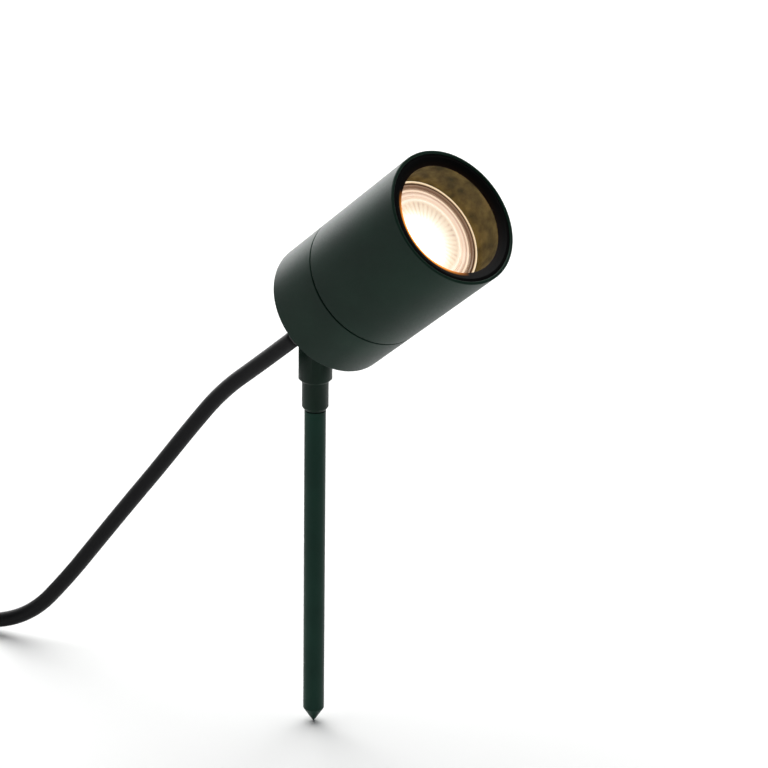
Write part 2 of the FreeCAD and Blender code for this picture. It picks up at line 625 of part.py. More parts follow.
def make_barrel():
    """Turned barrel with a recess in front for glass, gasket and bezel ring."""
    outer = HEAD_RADIUS
    keep("front_barrel", turned("front_barrel", [
        (BARREL_BORE + " + sizes.seam_edge", SEAM),
        (outer + " - sizes.seam_edge", SEAM),
        (outer, SEAM + " + sizes.seam_edge"),
        (outer, RIM + " - sizes.rim_edge"),
        (outer + " - sizes.rim_edge", RIM),
        (RECESS + " + sizes.rim_edge", RIM),
        (RECESS, RIM + " - sizes.rim_edge"),
        (RECESS, SHOULDER),
        (BARREL_BORE, SHOULDER),
        (BARREL_BORE, SEAM + " + sizes.seam_edge")], HEAD))
    opening = RECESS + " - sizes.bezel_width"
    keep("bezel_ring", turned("bezel_ring", [
        (opening, GLASS_TOP),
        (opening, RIM + " - sizes.bezel_inner_setback"),
        (RECESS + " - sizes.bezel_land", RIM + " - sizes.bezel_setback"),
        (RECESS, RIM + " - sizes.bezel_setback"),
        (RECESS, GLASS_TOP)], HEAD))
    keep("front_glass", turned("front_glass", rectangle(
        "0", GASKET_TOP, RECESS + " - sizes.glass_gap", GLASS_TOP), HEAD))
    keep("glass_gasket", ring("glass_gasket", BARREL_BORE + " + sizes.glass_gap",
                              RECESS + " - sizes.glass_gap", SHOULDER, GASKET_TOP, HEAD))


def make_gland():
    """Cable gland: threaded body with a hexagon, domed nut, seal, and the cord's end inside."""
    neck = "sizes.gland_neck_diameter / 2"
    bore = "sizes.cord_diameter / 2 + sizes.gland_bore_gap"
    body = new_body("gland_body", GLAND)
    pad(body, "gland_hexagon", outline(body, "gland_hexagon_outline", "XY_Plane",
                                       hexagon("sizes.gland_flats"), "-sizes.gland_hex_height"),
        "sizes.gland_hex_height")
    pad(body, "gland_neck", circles(body, "gland_neck_outline", "XY_Plane", [("0", "0")], neck,
                                    "-sizes.gland_neck_length"), "sizes.gland_neck_length")
    pad(body, "gland_thread", circles(body, "gland_thread_outline", "XY_Plane", [("0", "0")],
                                      "sizes.gland_thread_diameter / 2"), "sizes.gland_thread_length")
    hole = circles(body, "gland_bore_outline", "XY_Plane", [("0", "0")], bore, "sizes.gland_thread_length")
    pocket(body, "gland_bore", hole, "sizes.gland_thread_length + sizes.gland_neck_length + 1")
    keep("gland_body", body)

    nut = new_body("gland_nut", GLAND)
    dome = "sizes.gland_flats / 2"
    revolve(nut, "gland_dome", outline(nut, "gland_dome_outline", "XZ_Plane", [
        ("0", "-sizes.gland_length"),
        ("sizes.gland_mouth_diameter / 2", "-sizes.gland_length"),
        (dome, "-sizes.gland_neck_length"),
        (dome, "-sizes.gland_hex_height"),
        ("0", "-sizes.gland_hex_height")]))
    pad(nut, "nut_hexagon", outline(nut, "nut_hexagon_outline", "XY_Plane",
                                    hexagon("sizes.gland_flats"), "-sizes.gland_neck_length"),
        "sizes.gland_neck_length - sizes.gland_hex_height")
    thread = circles(nut, "nut_thread_outline", "XY_Plane", [("0", "0")], neck, "-sizes.gland_hex_height")
    pocket(nut, "nut_thread", thread,
           "sizes.gland_neck_length + sizes.gland_seal_length - sizes.gland_hex_height")
    mouth = circles(nut, "nut_mouth_outline", "XY_Plane", [("0", "0")], bore, "-sizes.gland_hex_height")
    pocket(nut, "nut_mouth", mouth, "sizes.gland_length")
    keep("gland_nut", nut)
    keep("gland_seal", ring("gland_seal", "sizes.cord_diameter / 2", neck,
                            "-sizes.gland_neck_length - sizes.gland_seal_length",
                            "-sizes.gland_neck_length", GLAND))
    keep("cord_inner_end", turned("cord_inner_end", rectangle(
        "0", "-sizes.gland_length", "sizes.cord_diameter / 2", "sizes.cord_inside"), GLAND))


# ---------------------------------------------------------------- lamp and its holder

def make_lamp():
    """Reflector lamp: flared body, clear rim, lens, diode board and two headed pins."""
    face = "sizes.lamp_diameter / 2"
    shell = "sizes.lamp_shell"
    seat = "(%s - sizes.lamp_rim_height)" % LAMP_TOP
    waist = "(%s + sizes.lamp_waist_height)" % LAMP_BASE
    neck = "(%s + sizes.lamp_neck_height)" % LAMP_BASE
    board = "(%s + sizes.led_board_height)" % LAMP_BASE
    keep("lamp_body", turned("lamp_body", [
        ("0", LAMP_BASE),
        ("sizes.lamp_base_diameter / 2", LAMP_BASE),
        ("sizes.lamp_base_diameter / 2", neck),
        ("sizes.lamp_waist_diameter / 2", waist),
        (face, seat + " - sizes.lamp_rim_height"),
        (face, seat),
        (face + " - " + shell, seat),
        (face + " - " + shell, seat + " - sizes.lamp_rim_height"),
        ("sizes.led_board_diameter / 2 + sizes.board_seat_rim", board),
        ("0", board)], HEAD))
    inside = "sizes.lamp_diameter / 2 - sizes.lamp_rim_width"
    keep("lamp_rim", ring("lamp_rim", inside, face, seat, LAMP_TOP, HEAD))
    lens_top = "(%s - sizes.lens_setback)" % LAMP_TOP
    keep("lamp_lens", turned("lamp_lens", rectangle(
        "0", lens_top + " - sizes.lens_thickness", inside, lens_top), HEAD))
    keep("led_board", turned("led_board", rectangle(
        "0", board, "sizes.led_board_diameter / 2", board + " + sizes.led_board_thickness"), HEAD))
    pins = []
    for side, sign in (("left", ""), ("right", "-")):
        step = "-sizes.pin_shank_length"
        pins.append(turned("lamp_pin_" + side, [
            ("0", step + " - sizes.pin_head_height"),
            ("sizes.pin_head_diameter / 2", step + " - sizes.pin_head_height"),
            ("sizes.pin_head_diameter / 2", step),
            ("sizes.pin_shank_diameter / 2", step),
            ("sizes.pin_shank_diameter / 2", "0"),
            ("0", "0")], head_place(sign + "sizes.pin_spacing / 2", "0", LAMP_BASE)))
    group("lamp_pins", pins)


def keyhole(body, name, turn, top):
    """Keyhole for one pin: a round entry for the head, then a slot in which the shank turns."""
    for stage, share, size in (("entry", 1.0, "sizes.pin_head_diameter"),
                               ("middle", 0.5, "sizes.pin_shank_diameter"),
                               ("end", 0.0, "sizes.pin_shank_diameter")):
        angle = "(%d - sizes.twist_angle * %g)" % (turn, share)
        place = [("sizes.pin_spacing / 2 * cos(%s * 1 deg)" % angle,
                  "sizes.pin_spacing / 2 * sin(%s * 1 deg)" % angle)]
        hole = circles(body, "%s_%s_outline" % (name, stage), "XY_Plane", place,
                       size + " / 2 + sizes.keyhole_gap", top)
        pocket(body, "%s_%s" % (name, stage), hole, "sizes.holder_top")


def make_holder():
    """Ceramic lamp holder with bayonet keyholes, on a bent steel bracket."""
    outer = "sizes.holder_diameter / 2"
    inner = "(sizes.holder_diameter / 2 - sizes.holder_wall)"
    body = turned("lamp_holder", [
        ("0", HOLDER_TOP + " - sizes.holder_top"),
        (inner, HOLDER_TOP + " - sizes.holder_top"),
        (inner, HOLDER_BOTTOM),
        (outer, HOLDER_BOTTOM),
        (outer, HOLDER_TOP),
        ("0", HOLDER_TOP)], HEAD)
    keyhole(body, "keyhole_right", 0, HOLDER_TOP)
    keyhole(body, "keyhole_left", 180, HOLDER_TOP)
    lead = circles(body, "lead_hole_outline", "XZ_Plane", LEAD_PLACES, "sizes.wire_diameter / 2")
    pocket(body, "lead_holes", lead, outer)
    keep("lamp_holder", body)
    base_top = "(%s + sizes.holder_base_thickness)" % HOLDER_BOTTOM
    keep("holder_base", turned("holder_base", rectangle("0", HOLDER_BOTTOM, inner, base_top), HEAD))
    contacts = []
    for side, sign in (("left", "-"), ("right", "")):
        contact = new_body("lamp_contact_" + side, head_place(sign + "sizes.pin_spacing / 2", "0", base_top))
        plate = outline(contact, "contact_outline_" + side, "XY_Plane", rectangle(
            "-sizes.contact_width / 2", "-sizes.contact_length / 2",
            "sizes.contact_width / 2", "sizes.contact_length / 2"))
        pad(contact, "contact_plate_" + side, plate, "sizes.contact_thickness")
        contacts.append(contact)
    group("lamp_contacts", contacts)

    bracket = new_body("holder_bracket", HEAD)
    thick = "sizes.bracket_thickness"
    leg = "(sizes.holder_diameter / 2 + sizes.bracket_leg_gap)"
    foot = "(%s + sizes.bracket_foot)" % leg
    top, under = HOLDER_BOTTOM, "(%s - %s)" % (HOLDER_BOTTOM, thick)
    strip = outline(bracket, "bracket_outline", "XZ_Plane", [
        ("-" + foot, FLOOR),
        ("-(%s - %s)" % (leg, thick), FLOOR),
        ("-(%s - %s)" % (leg, thick), under),
        ("%s - %s" % (leg, thick), under),
        ("%s - %s" % (leg, thick), FLOOR),
        (foot, FLOOR),
        (foot, "%s + %s" % (FLOOR, thick)),
        (leg, "%s + %s" % (FLOOR, thick)),
        (leg, top),
        ("-" + leg, top),
        ("-" + leg, "%s + %s" % (FLOOR, thick)),
        ("-" + foot, "%s + %s" % (FLOOR, thick))], "-sizes.bracket_width / 2")
    pad(bracket, "bracket_strip", strip, "sizes.bracket_width")
    holes = circles(bracket, "bracket_hole_outline", "XY_Plane", BRACKET_SCREWS,
                    "sizes.small_screw_diameter / 2 + sizes.screw_clearance", "%s + %s" % (FLOOR, thick))
    pocket(bracket, "bracket_holes", holes, thick)
    keep("holder_bracket", bracket)
    pan_screws("bracket_screws", BRACKET_SCREWS, "%s + %s" % (FLOOR, thick), "sizes.bracket_screw_length")
    pan_screws("lug_screws", LUG_SCREWS, FLOOR, "sizes.lug_screw_length")


def make_terminal_block():
    """Terminal block for live, neutral and earth, with its clamping screws."""
    body = new_body("terminal_block", HEAD)
    near, far = "sizes.terminal_offset", "(sizes.terminal_offset + sizes.terminal_depth)"
    pad(body, "terminal_body", outline(body, "terminal_outline", "XY_Plane", rectangle(
        "-sizes.terminal_width / 2", near, "sizes.terminal_width / 2", far), FLOOR), "sizes.terminal_height")
    top = "(%s + sizes.terminal_height)" % FLOOR
    entries = circles(body, "wire_entry_outline", "XY_Plane", WIRE_ENTRIES, "sizes.wire_diameter / 2", top)
    pocket(body, "wire_entries", entries, "sizes.wire_entry_depth")
    leads = circles(body, "lead_entry_outline", "XZ_Plane", LEAD_PLACES, "sizes.wire_diameter / 2",
                    "-" + near)
    pocket(body, "lead_entries", leads, "sizes.lead_entry_depth")
    keep("terminal_block", body)
    ways = []
    for index, (x, y) in enumerate(WIRE_ENTRIES, start=1):
        screw = turned("terminal_screw_%d" % index, [
            ("0", "0"),
            ("sizes.small_screw_diameter / 2", "0"),
            ("sizes.small_screw_diameter / 2", "sizes.terminal_screw_height"),
            ("0", "sizes.terminal_screw_height")],
            head_place(x, far + " - sizes.small_screw_diameter / 2", top))
        ways.append(screw)
    group("terminal_screws", ways)
    leads = []
    for index, (x, level) in enumerate(LEAD_PLACES, start=1):
        inner = "(sizes.holder_diameter / 2 - sizes.holder_wall)"
        lead = new_body("holder_lead_%d" % index, HEAD)
        start = circles(lead, "holder_lead_outline_%d" % index, "XZ_Plane", [(x, level)],
                        "sizes.wire_diameter / 2", "-(%s + sizes.lead_entry_depth)" % near)
        pad(lead, "holder_lead_run_%d" % index, start, "%s + sizes.lead_entry_depth - %s" % (near, inner))
        leads.append(lead)
    group("holder_leads", leads)


# ---------------------------------------------------------------- wires and cord

def rounded_wire(points, radius=None):
    """Straight runs joined by tangent arcs. Without a radius each arc is 0.45 of its shorter
    run over the tangent of half the turn. Returns the wire, its length and the radii."""
    spots = [Vector(*point) for point in points]
    edges, radii, start = [], [], spots[0]
    for before, corner, after in zip(spots, spots[1:], spots[2:]):
        inward, outward = (before - corner), (after - corner)
        half = (math.pi - inward.getAngle(outward)) / 2
        cut = 0.45 * min(inward.Length, outward.Length)
        if radius:
            cut = radius * math.tan(half)
        size = cut / math.tan(half)
        first = corner + inward.normalize() * cut
        last = corner + outward.normalize() * cut
        bisector = (inward + outward).normalize()
        middle = corner + bisector * (size / math.cos(half) - size)
        edges.append(Part.LineSegment(start, first).toShape())
        edges.append(Part.Arc(first, middle, last).toShape())
        radii.append(size)
        start = last
    edges.append(Part.LineSegment(start, spots[-1]).toShape())
    return Part.Wire(edges), sum(edge.Length for edge in edges), radii


def tube(wire, diameter):
    """Round tube along the wire."""
    first = wire.Edges[0]
    begin = first.valueAt(first.FirstParameter)
    along = first.tangentAt(first.FirstParameter)
    section = Part.Wire([Part.Circle(begin, along, diameter / 2).toShape()])
    return wire.makePipeShell([section], True, False)


def feature(name, shape, where=None):
    """Piece whose shape is worked out here, with its placement set after its shape."""
    item = doc.addObject("Part::Feature", name)
    item.Shape = shape
    if where:
        item.setExpression("Placement", where)
    return keep(name, item)


def make_wires():
    """Three insulated wires from the cord's end, round the lamp, down into the terminal block."""
    thick = number("sizes.wire_diameter")
    start = number("sizes.rear_gap + sizes.cord_inside")
    level = number(FLOOR + " + sizes.wire_height")
    bottom = number(FLOOR + " + sizes.terminal_height - sizes.wire_entry_depth")
    row = number(ENTRY_ROW)
    room = number(CAVITY + " - sizes.wire_wall_gap")
    lift = number("sizes.wire_lift")
    for name, angle, way, side, rise in (("live_wire", 30, 1, room, 0.0),
                                         ("neutral_wire", 270, 0, room - lift, lift),
                                         ("earth_wire", 150, -1, -room, 0.0)):
        turn = math.radians(angle)
        begin_x = number("sizes.gland_down") + number("sizes.wire_ring") * math.cos(turn)
        begin_y = number("sizes.gland_across") + number("sizes.wire_ring") * math.sin(turn)
        end_x = way * number("sizes.terminal_pitch")
        route = [(begin_x, begin_y, start),
                 (begin_x, begin_y, level + rise),
                 (side, -row / 2, level + rise),
                 (side, row / 2, level + rise),
                 (end_x, row, level + rise),
                 (end_x, row, bottom)]
        wire, length, radii = rounded_wire(route, number("sizes.wire_bend"))
        feature(name, tube(wire, thick), HEAD)


def right_of(direction):
    """Direction turned a quarter turn to the right, seen from above."""
    return Vector(direction.y, -direction.x, 0)


def arc_with_tangent(start, along, end):
    """Arc from start to end that leaves start along the given direction."""
    chord = end - start
    angle = along.getAngle(chord)
    aside = along - chord * (along.dot(chord) / chord.dot(chord))
    middle = start + chord * 0.5 + aside.normalize() * (chord.Length / 2 * math.tan(angle / 2))
    return Part.Arc(start, middle, end).toShape()


def biarc(start, along, end, onward):
    """Two arcs from start to end with the given directions at both ends."""
    span = end - start
    both = along + onward
    bend = 2 * (1 - along.dot(onward))
    reach = (-span.dot(both) + math.sqrt(span.dot(both) ** 2 + bend * span.dot(span))) / bend
    joint = (start + end + (along - onward) * reach) * 0.5
    back = arc_with_tangent(end, onward * -1, joint)
    points = [back.valueAt(value) for value in (back.FirstParameter,
              (back.FirstParameter + back.LastParameter) / 2, back.LastParameter)]
    return [arc_with_tangent(start, along, joint), Part.Arc(points[2], points[1], points[0]).toShape()]


def coil_wire(start, along, radius, pitch, diameter, lift):
    """The put-away cord as half turns: inwards, up one layer, outwards, and up to the plug."""
    spot = start + along * diameter
    edges = [Part.LineSegment(start, spot).toShape()]
    heading = Vector(along)
    size = radius
    climbs = {IN_TURNS: pitch, IN_TURNS + OUT_TURNS: lift}
    for turn in range(IN_TURNS + 1 + OUT_TURNS):
        aside = right_of(heading)
        centre = spot + aside * size
        climb = climbs.get(turn)
        if climb:
            middle = centre + heading * size + Vector(0, 0, climb / 2)
            end = centre + aside * size + Vector(0, 0, climb)
            rise = (aside + Vector(0, 0, climb / (math.pi * size))).normalize()
            edges += biarc(spot, heading, middle, rise)
            edges += biarc(middle, rise, end, heading * -1)
        else:
            end = centre + aside * size
            edges.append(Part.Arc(spot, centre + heading * size, end).toShape())
        spot, heading = end, heading * -1
        size += -pitch / 2 if turn < IN_TURNS else pitch / 2
    last = spot + heading * diameter
    edges.append(Part.LineSegment(spot, last).toShape())
    return Part.Wire(edges), last, heading


def least_gap(wire, diameter):
    """Least distance between stretches of the tube that lie over three diameters apart on it."""
    points = wire.discretize(Distance=diameter / 3)
    skip = 9
    nearest = min(points[one].distanceToPoint(points[other])
                  for one in range(len(points)) for other in range(one + skip, len(points)))
    return nearest - diameter


def make_cord():
    """Cord from the gland to the ground, its tied coil, and the lead of the plug."""
    thick = number("sizes.cord_diameter")
    tilt = math.radians(number("sizes.rest_tilt"))
    axis = Vector(math.cos(tilt), 0, math.sin(tilt))
    falling = Vector(math.sin(tilt), 0, -math.cos(tilt))
    pivot = Vector(0, 0, number("sizes.pivot_height"))
    mouth = pivot + axis * number("sizes.rear_gap - sizes.gland_length") \
        + falling * number("sizes.gland_down") + Vector(0, number("sizes.gland_across"), 0)
    second = mouth - axis * number("sizes.cord_straight")
    route = [tuple(mouth), tuple(second)] + LEAD_ROUTE
    wire, length, radii = rounded_wire(route)
    lead = tube(wire, thick)
    print("lead length %.1f, radii %s" % (length, [round(size, 1) for size in radii]))
    print("lead volume over section x length: %.4f"
          % (lead.Volume / (math.pi * thick * thick / 4 * length)))
    feature("cord_lead", lead)
    begin = Vector(*LEAD_ROUTE[-1])
    along = (begin - Vector(*LEAD_ROUTE[-2])).normalize()
    pitch = thick + number("sizes.coil_gap")
    ground = begin.z - thick / 2 - number("sizes.tie_thickness")
    lift = ground + number("sizes.plug_diameter / 2") - begin.z - pitch
    coil, end, heading = coil_wire(begin, along, number("sizes.coil_radius"), pitch, thick, lift)
    print("coil length %.1f, least gap to itself %.2f" % (coil.Length, least_gap(coil, thick)))
    feature("cord_coil", tube(coil, thick))
    tail = number("sizes.tail_straight")
    plug = end + heading * tail
    feature("cord_tail", tube(Part.Wire([Part.LineSegment(end, plug).toShape()]), thick))
    print("plug at %s, cord length in all %.0f" % (tuple(round(value, 4) for value in plug), (
        length + coil.Length + tail + number("sizes.gland_length + sizes.cord_inside"))))
    make_tie(begin + along * thick, along, pitch, thick)
    make_plug(tuple(plug))


def make_tie(start, along, pitch, thick):
    """Strap round all turns of the coil, opposite to where the cord arrives."""
    wall = number("sizes.tie_thickness")
    wide = number("sizes.tie_width")
    room = number("sizes.coil_gap")
    outer = number("sizes.coil_radius")
    centre = start + right_of(along) * outer
    inner = outer - pitch * (IN_TURNS // 2) - 2 * room
    low = start.z - thick / 2
    size = (outer - inner + thick + 2 * room, wide, pitch + thick + room / 2)
    box = Part.makeBox(size[0] + 2 * wall, wide, size[2] + 2 * wall, Vector(-wall, 0, -wall))
    upright = [edge for edge in box.Edges if abs(edge.tangentAt(edge.FirstParameter).y) > 0.9]
    hole = Part.makeBox(size[0], wide, size[2])
    strap = box.makeFillet(number("sizes.tie_corner"), upright).cut(hole)
    item = feature("cord_tie", strap)
    item.Placement = Placement(centre + along * (inner - thick / 2 - room)
                               + Vector(0, 0, low - centre.z) + right_of(along) * ((pitch + wide) / 2),
                               Rotation(Vector(0, 0, 1), math.degrees(math.atan2(along.y, along.x))))


def make_plug(base):
    """Moulded two-pin earthed plug with its tapered strain relief; its pins point along -X."""
    where = "placement(vector(%.4f; %.4f; %.4f); rotation(vector(0; 1; 0); -90))" % base
    neck = "sizes.plug_neck_diameter / 2"
    wide = "sizes.plug_diameter / 2"
    start, end = "sizes.boot_length", "(sizes.boot_length + sizes.plug_body_length)"
    keep("plug_boot", turned("plug_boot", [
        ("0", "0"),
        ("sizes.boot_diameter / 2", "0"),
        ("sizes.boot_end_diameter / 2", start),
        ("0", start)], where))
    body = turned("plug_body", [
        ("0", start),
        (neck, start),
        ("sizes.plug_shoulder_diameter / 2", start + " + sizes.plug_shoulder_length"),
        ("sizes.plug_grip_diameter / 2", start + " + sizes.plug_grip_length"),
        (wide, start + " + sizes.plug_flare_length"),
        (wide, end + " - sizes.plug_edge"),
        (wide + " - sizes.plug_edge", end),
        ("0", end)], where)
    edge = wide + " - sizes.earth_clip_sunk - sizes.earth_clip_thickness"
    beyond = wide + " + sizes.plug_edge"
    for name, near, far in (("top", edge, beyond), ("bottom", "-(%s)" % beyond, "-(%s)" % edge)):
        notch = outline(body, "clip_notch_%s_outline" % name, "XY_Plane", rectangle(
            near, "-sizes.earth_clip_width / 2", far, "sizes.earth_clip_width / 2"), end)
        pocket(body, "clip_notch_" + name, notch, "sizes.earth_clip_length")
    keep("plug_body", body)
    clips, pins = [], []
    for name, sign in (("top", ""), ("bottom", "-")):
        clip = new_body("earth_clip_" + name, where)
        strip = outline(clip, "earth_clip_outline_" + name, "XY_Plane", rectangle(
            "%s(%s)" % (sign, edge), "-sizes.earth_clip_width / 2",
            "%s(%s)" % (sign, wide + " - sizes.earth_clip_sunk"), "sizes.earth_clip_width / 2"),
            end + " - sizes.earth_clip_length")
        pad(clip, "earth_clip_strip_" + name, strip, "sizes.earth_clip_length - sizes.earth_clip_gap")
        clips.append(clip)
    group("plug_earth_clips", clips)
    radius = "sizes.plug_pin_diameter / 2"
    for name, sign in (("left", ""), ("right", "-")):
        pin_place = where + " * placement(vector(0; %ssizes.plug_pin_spacing / 2; %s);" \
            " rotation(vector(0; 0; 1); 0))" % (sign, end)
        pins.append(turned("plug_pin_" + name, [
            ("0", "0"),
            (radius, "0"),
            (radius, "sizes.plug_pin_length - sizes.plug_pin_nose"),
            ("sizes.plug_pin_tip_diameter / 2", "sizes.plug_pin_length"),
            ("0", "sizes.plug_pin_length")], pin_place))
    group("plug_pins", pins)


def check_document():
    """Stops on a failed object, an empty or broken shape, or a cut that removed nothing."""
    doc.recompute()
    faults = []
    for item in doc.Objects:
        if "Invalid" in item.State or "Error" in item.State:
            faults.append("%s: %s" % (item.Name, item.State))
        if item.TypeId == "PartDesign::Pocket" and item.Shape.Volume > item.BaseFeature.Shape.Volume - 1e-4:
            faults.append("%s cuts nothing" % item.Name)
    for name, item in nodes.items():
        if item.Shape.isNull() or not item.Shape.isValid():
            faults.append("%s has no valid shape" % name)
    if faults:
        raise RuntimeError("; ".join(faults))


make_spike()
make_stem()
make_grub_screw()
make_tilt_fasteners()
make_lug()
make_rear_cap()
make_barrel()
make_gland()
make_lamp()
make_holder()
make_terminal_block()
pan_screws("earth_screw", EARTH_SCREW, FLOOR, "sizes.earth_screw_length")
make_wires()
make_cord()
check_document()
os.makedirs("parts", exist_ok=True)
for name, item in nodes.items():
    item.Shape.exportStep("parts/%s.step" % name)
print("%d pieces" % len(nodes))
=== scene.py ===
"""Looks of the garden spike spotlight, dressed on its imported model.

The scene is in metres, in the model's own frame: the origin is on the spike's axis at its
shoulder, +Z is up and the head points towards +X. Sizes are written in millimetres. Turned pieces
are worked out in the head's frame: x towards the ground, y across, w along the head's axis from
the tilt axis to the glass.
"""

import math

import bmesh
import bpy
import numpy as np
from mathutils import Matrix, Vector


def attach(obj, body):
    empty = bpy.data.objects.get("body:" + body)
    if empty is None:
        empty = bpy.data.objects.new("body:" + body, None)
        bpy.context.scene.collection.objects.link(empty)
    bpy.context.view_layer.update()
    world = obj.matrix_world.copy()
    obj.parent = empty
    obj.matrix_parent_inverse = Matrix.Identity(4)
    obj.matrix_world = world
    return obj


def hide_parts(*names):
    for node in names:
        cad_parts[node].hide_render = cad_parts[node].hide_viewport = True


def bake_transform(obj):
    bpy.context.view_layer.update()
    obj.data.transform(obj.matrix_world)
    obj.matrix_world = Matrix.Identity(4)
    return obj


MM = 0.001

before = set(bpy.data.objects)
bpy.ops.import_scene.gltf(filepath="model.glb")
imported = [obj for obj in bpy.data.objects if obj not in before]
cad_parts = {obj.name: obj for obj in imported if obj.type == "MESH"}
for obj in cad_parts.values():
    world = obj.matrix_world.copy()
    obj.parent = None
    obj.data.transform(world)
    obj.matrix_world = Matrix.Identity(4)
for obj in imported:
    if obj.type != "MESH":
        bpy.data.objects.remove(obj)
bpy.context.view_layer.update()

# ---------------------------------------------------------------- sizes, in millimetres

# The head's frame.
PIVOT = np.array([0.0, 0.0, 41.6])                            # on the tilt axis
TILT = math.radians(39.0)                                     # how far the head is raised
AXIS = np.array([math.cos(TILT), 0.0, math.sin(TILT)])        # its w
FALL = np.array([math.sin(TILT), 0.0, -math.cos(TILT)])       # its x, towards the ground
ACROSS = np.array([0.0, 1.0, 0.0])                            # its y

# Places along the head's axis.
REAR = 13.2                                                   # the cap's rear face
CAP_FLOOR = REAR + 4.0
SEAM = REAR + 29.4                                            # between cap and barrel
RIM = SEAM + 60.6                                             # the barrel's front
BEZEL_FRONT = RIM - 0.5
GLASS_TOP = RIM - 2.5
GASKET_TOP = GLASS_TOP - 3.5
SHOULDER = GASKET_TOP - 1.0                                   # the gasket's seat
LAMP_TOP = CAP_FLOOR + 13.3 + 53.0
LENS_TOP = LAMP_TOP - 1.2

# Radii round the head's axis.
LAMP_RADIUS = 25.0
LENS_RADIUS = LAMP_RADIUS - 2.4
BORE = LAMP_RADIUS + 2.0                                      # inside of the barrel
OUTER = BORE + 3.0                                            # outside of the housing
RECESS = OUTER - 1.4                                          # round bezel and glass
BEZEL_BORE = RECESS - 4.6
FACETS = 40                                                   # round the lens
FACET_INNER, FACET_OUTER = 8.0, 17.0

# The groove that shows as the seam: its depth, and half of its width.
SEAM_DEPTH = 1.2
SEAM_HALF = 0.42

# The spike, below its shoulder.
SPIKE_RADIUS = 4.75
POINT = -145.1                                                # the cone's upper end
GROUND = POINT - 6.8                                          # the tip, and the floor

# The cord, its coil and its plug.
CORD_DIAMETER = 7.2
CORD_STRAIGHT = 30.0                                          # in line with the gland
COIL_PITCH = CORD_DIAMETER + 0.5                              # between turns and layers
COIL_RADIUS = 47.0                                            # of the largest turn
IN_TURNS, OUT_TURNS = 5, 2                                    # half turns of the two layers
POINTS_PER_HALF = 8                                           # control points of a half turn
TAIL_LENGTH = 10.0                                            # from the coil to the plug
PLUG_RADIUS = 18.5
GLAND_MOUTH = PIVOT + AXIS * (REAR - 10.5) + FALL * 4.65 + ACROSS * -15.0

# ---------------------------------------------------------------- camera and lights

# The photograph's camera: its place in metres, its angles in degrees.
CAMERA_PLACE = (0.79903, -0.75983, 0.42921)
CAMERA_HEADING = 134.887                                      # from +X towards +Y
CAMERA_PITCH = 20.705                                         # downwards
CAMERA_ROLL = 0.873
FOCAL_PIXELS = 2706.5
PICTURE_PIXELS = 768.0
SENSOR = 36.0

WHITE_SIDE = (-0.75, 0.37, 0.55)                              # way to the room's white side
FLOOR_EDGE = 25.0                                             # metres from the middle


def linear(code):
    """sRGB hex to linear light: up to 0.04045 divided by 12.92, above it 0.055 is added, the
    sum is divided by 1.055 and raised to 2.4."""
    parts = np.array([int(code[k:k + 2], 16) / 255.0 for k in (1, 3, 5)])
    light = np.where(parts <= 0.04045, parts / 12.92, ((parts + 0.055) / 1.055) ** 2.4)
    return (*[float(value) for value in light], 1.0)


def add(tree, kind, settings=None, values=None, links=None, stops=None):
    """Adds one node: its settings, its sockets' own values, the outputs linked to its sockets,
    and a ramp's stops as position and colour. A stop's plain number is an amount of light."""
    made = tree.nodes.new(kind)
    for key, value in (settings or {}).items():
        setattr(made, key, value)
    for key, value in (values or {}).items():
        made.inputs[key].default_value = value
    for key, output in (links or {}).items():
        tree.links.new(output, made.inputs[key])
    if stops:
        elements = made.color_ramp.elements
        while len(elements) < len(stops):
            elements.new(0.5)
        for element, (place, shown) in zip(elements, stops):
            element.position = place
            element.color = linear(shown) if isinstance(shown, str) else (shown,) * 3 + (1.0,)
    return made


def placed(name, data):
    """A new object of the scene, at the origin."""
    made = bpy.data.objects.new(name, data)
    bpy.context.scene.collection.objects.link(made)
    return made


def make_camera():
    """The photograph's camera: square frame, 127 mm lens, turned by heading, pitch and roll.
    The plain sRGB view keeps blacks and dark greens as dark as they are."""
    data = bpy.data.cameras.new("view")
    data.sensor_fit = "HORIZONTAL"
    data.sensor_width = SENSOR
    data.lens = FOCAL_PIXELS / PICTURE_PIXELS * SENSOR
    data.clip_start, data.clip_end = 0.01, 60.0
    camera = placed("view", data)
    camera.matrix_world = (Matrix.Translation(CAMERA_PLACE)
                           @ Matrix.Rotation(math.radians(CAMERA_HEADING - 90.0), 4, "Z")
                           @ Matrix.Rotation(math.radians(90.0 - CAMERA_PITCH), 4, "X")
                           @ Matrix.Rotation(math.radians(CAMERA_ROLL), 4, "Z"))
    bpy.context.scene.camera = camera
    bpy.context.scene.view_settings.view_transform = "Standard"


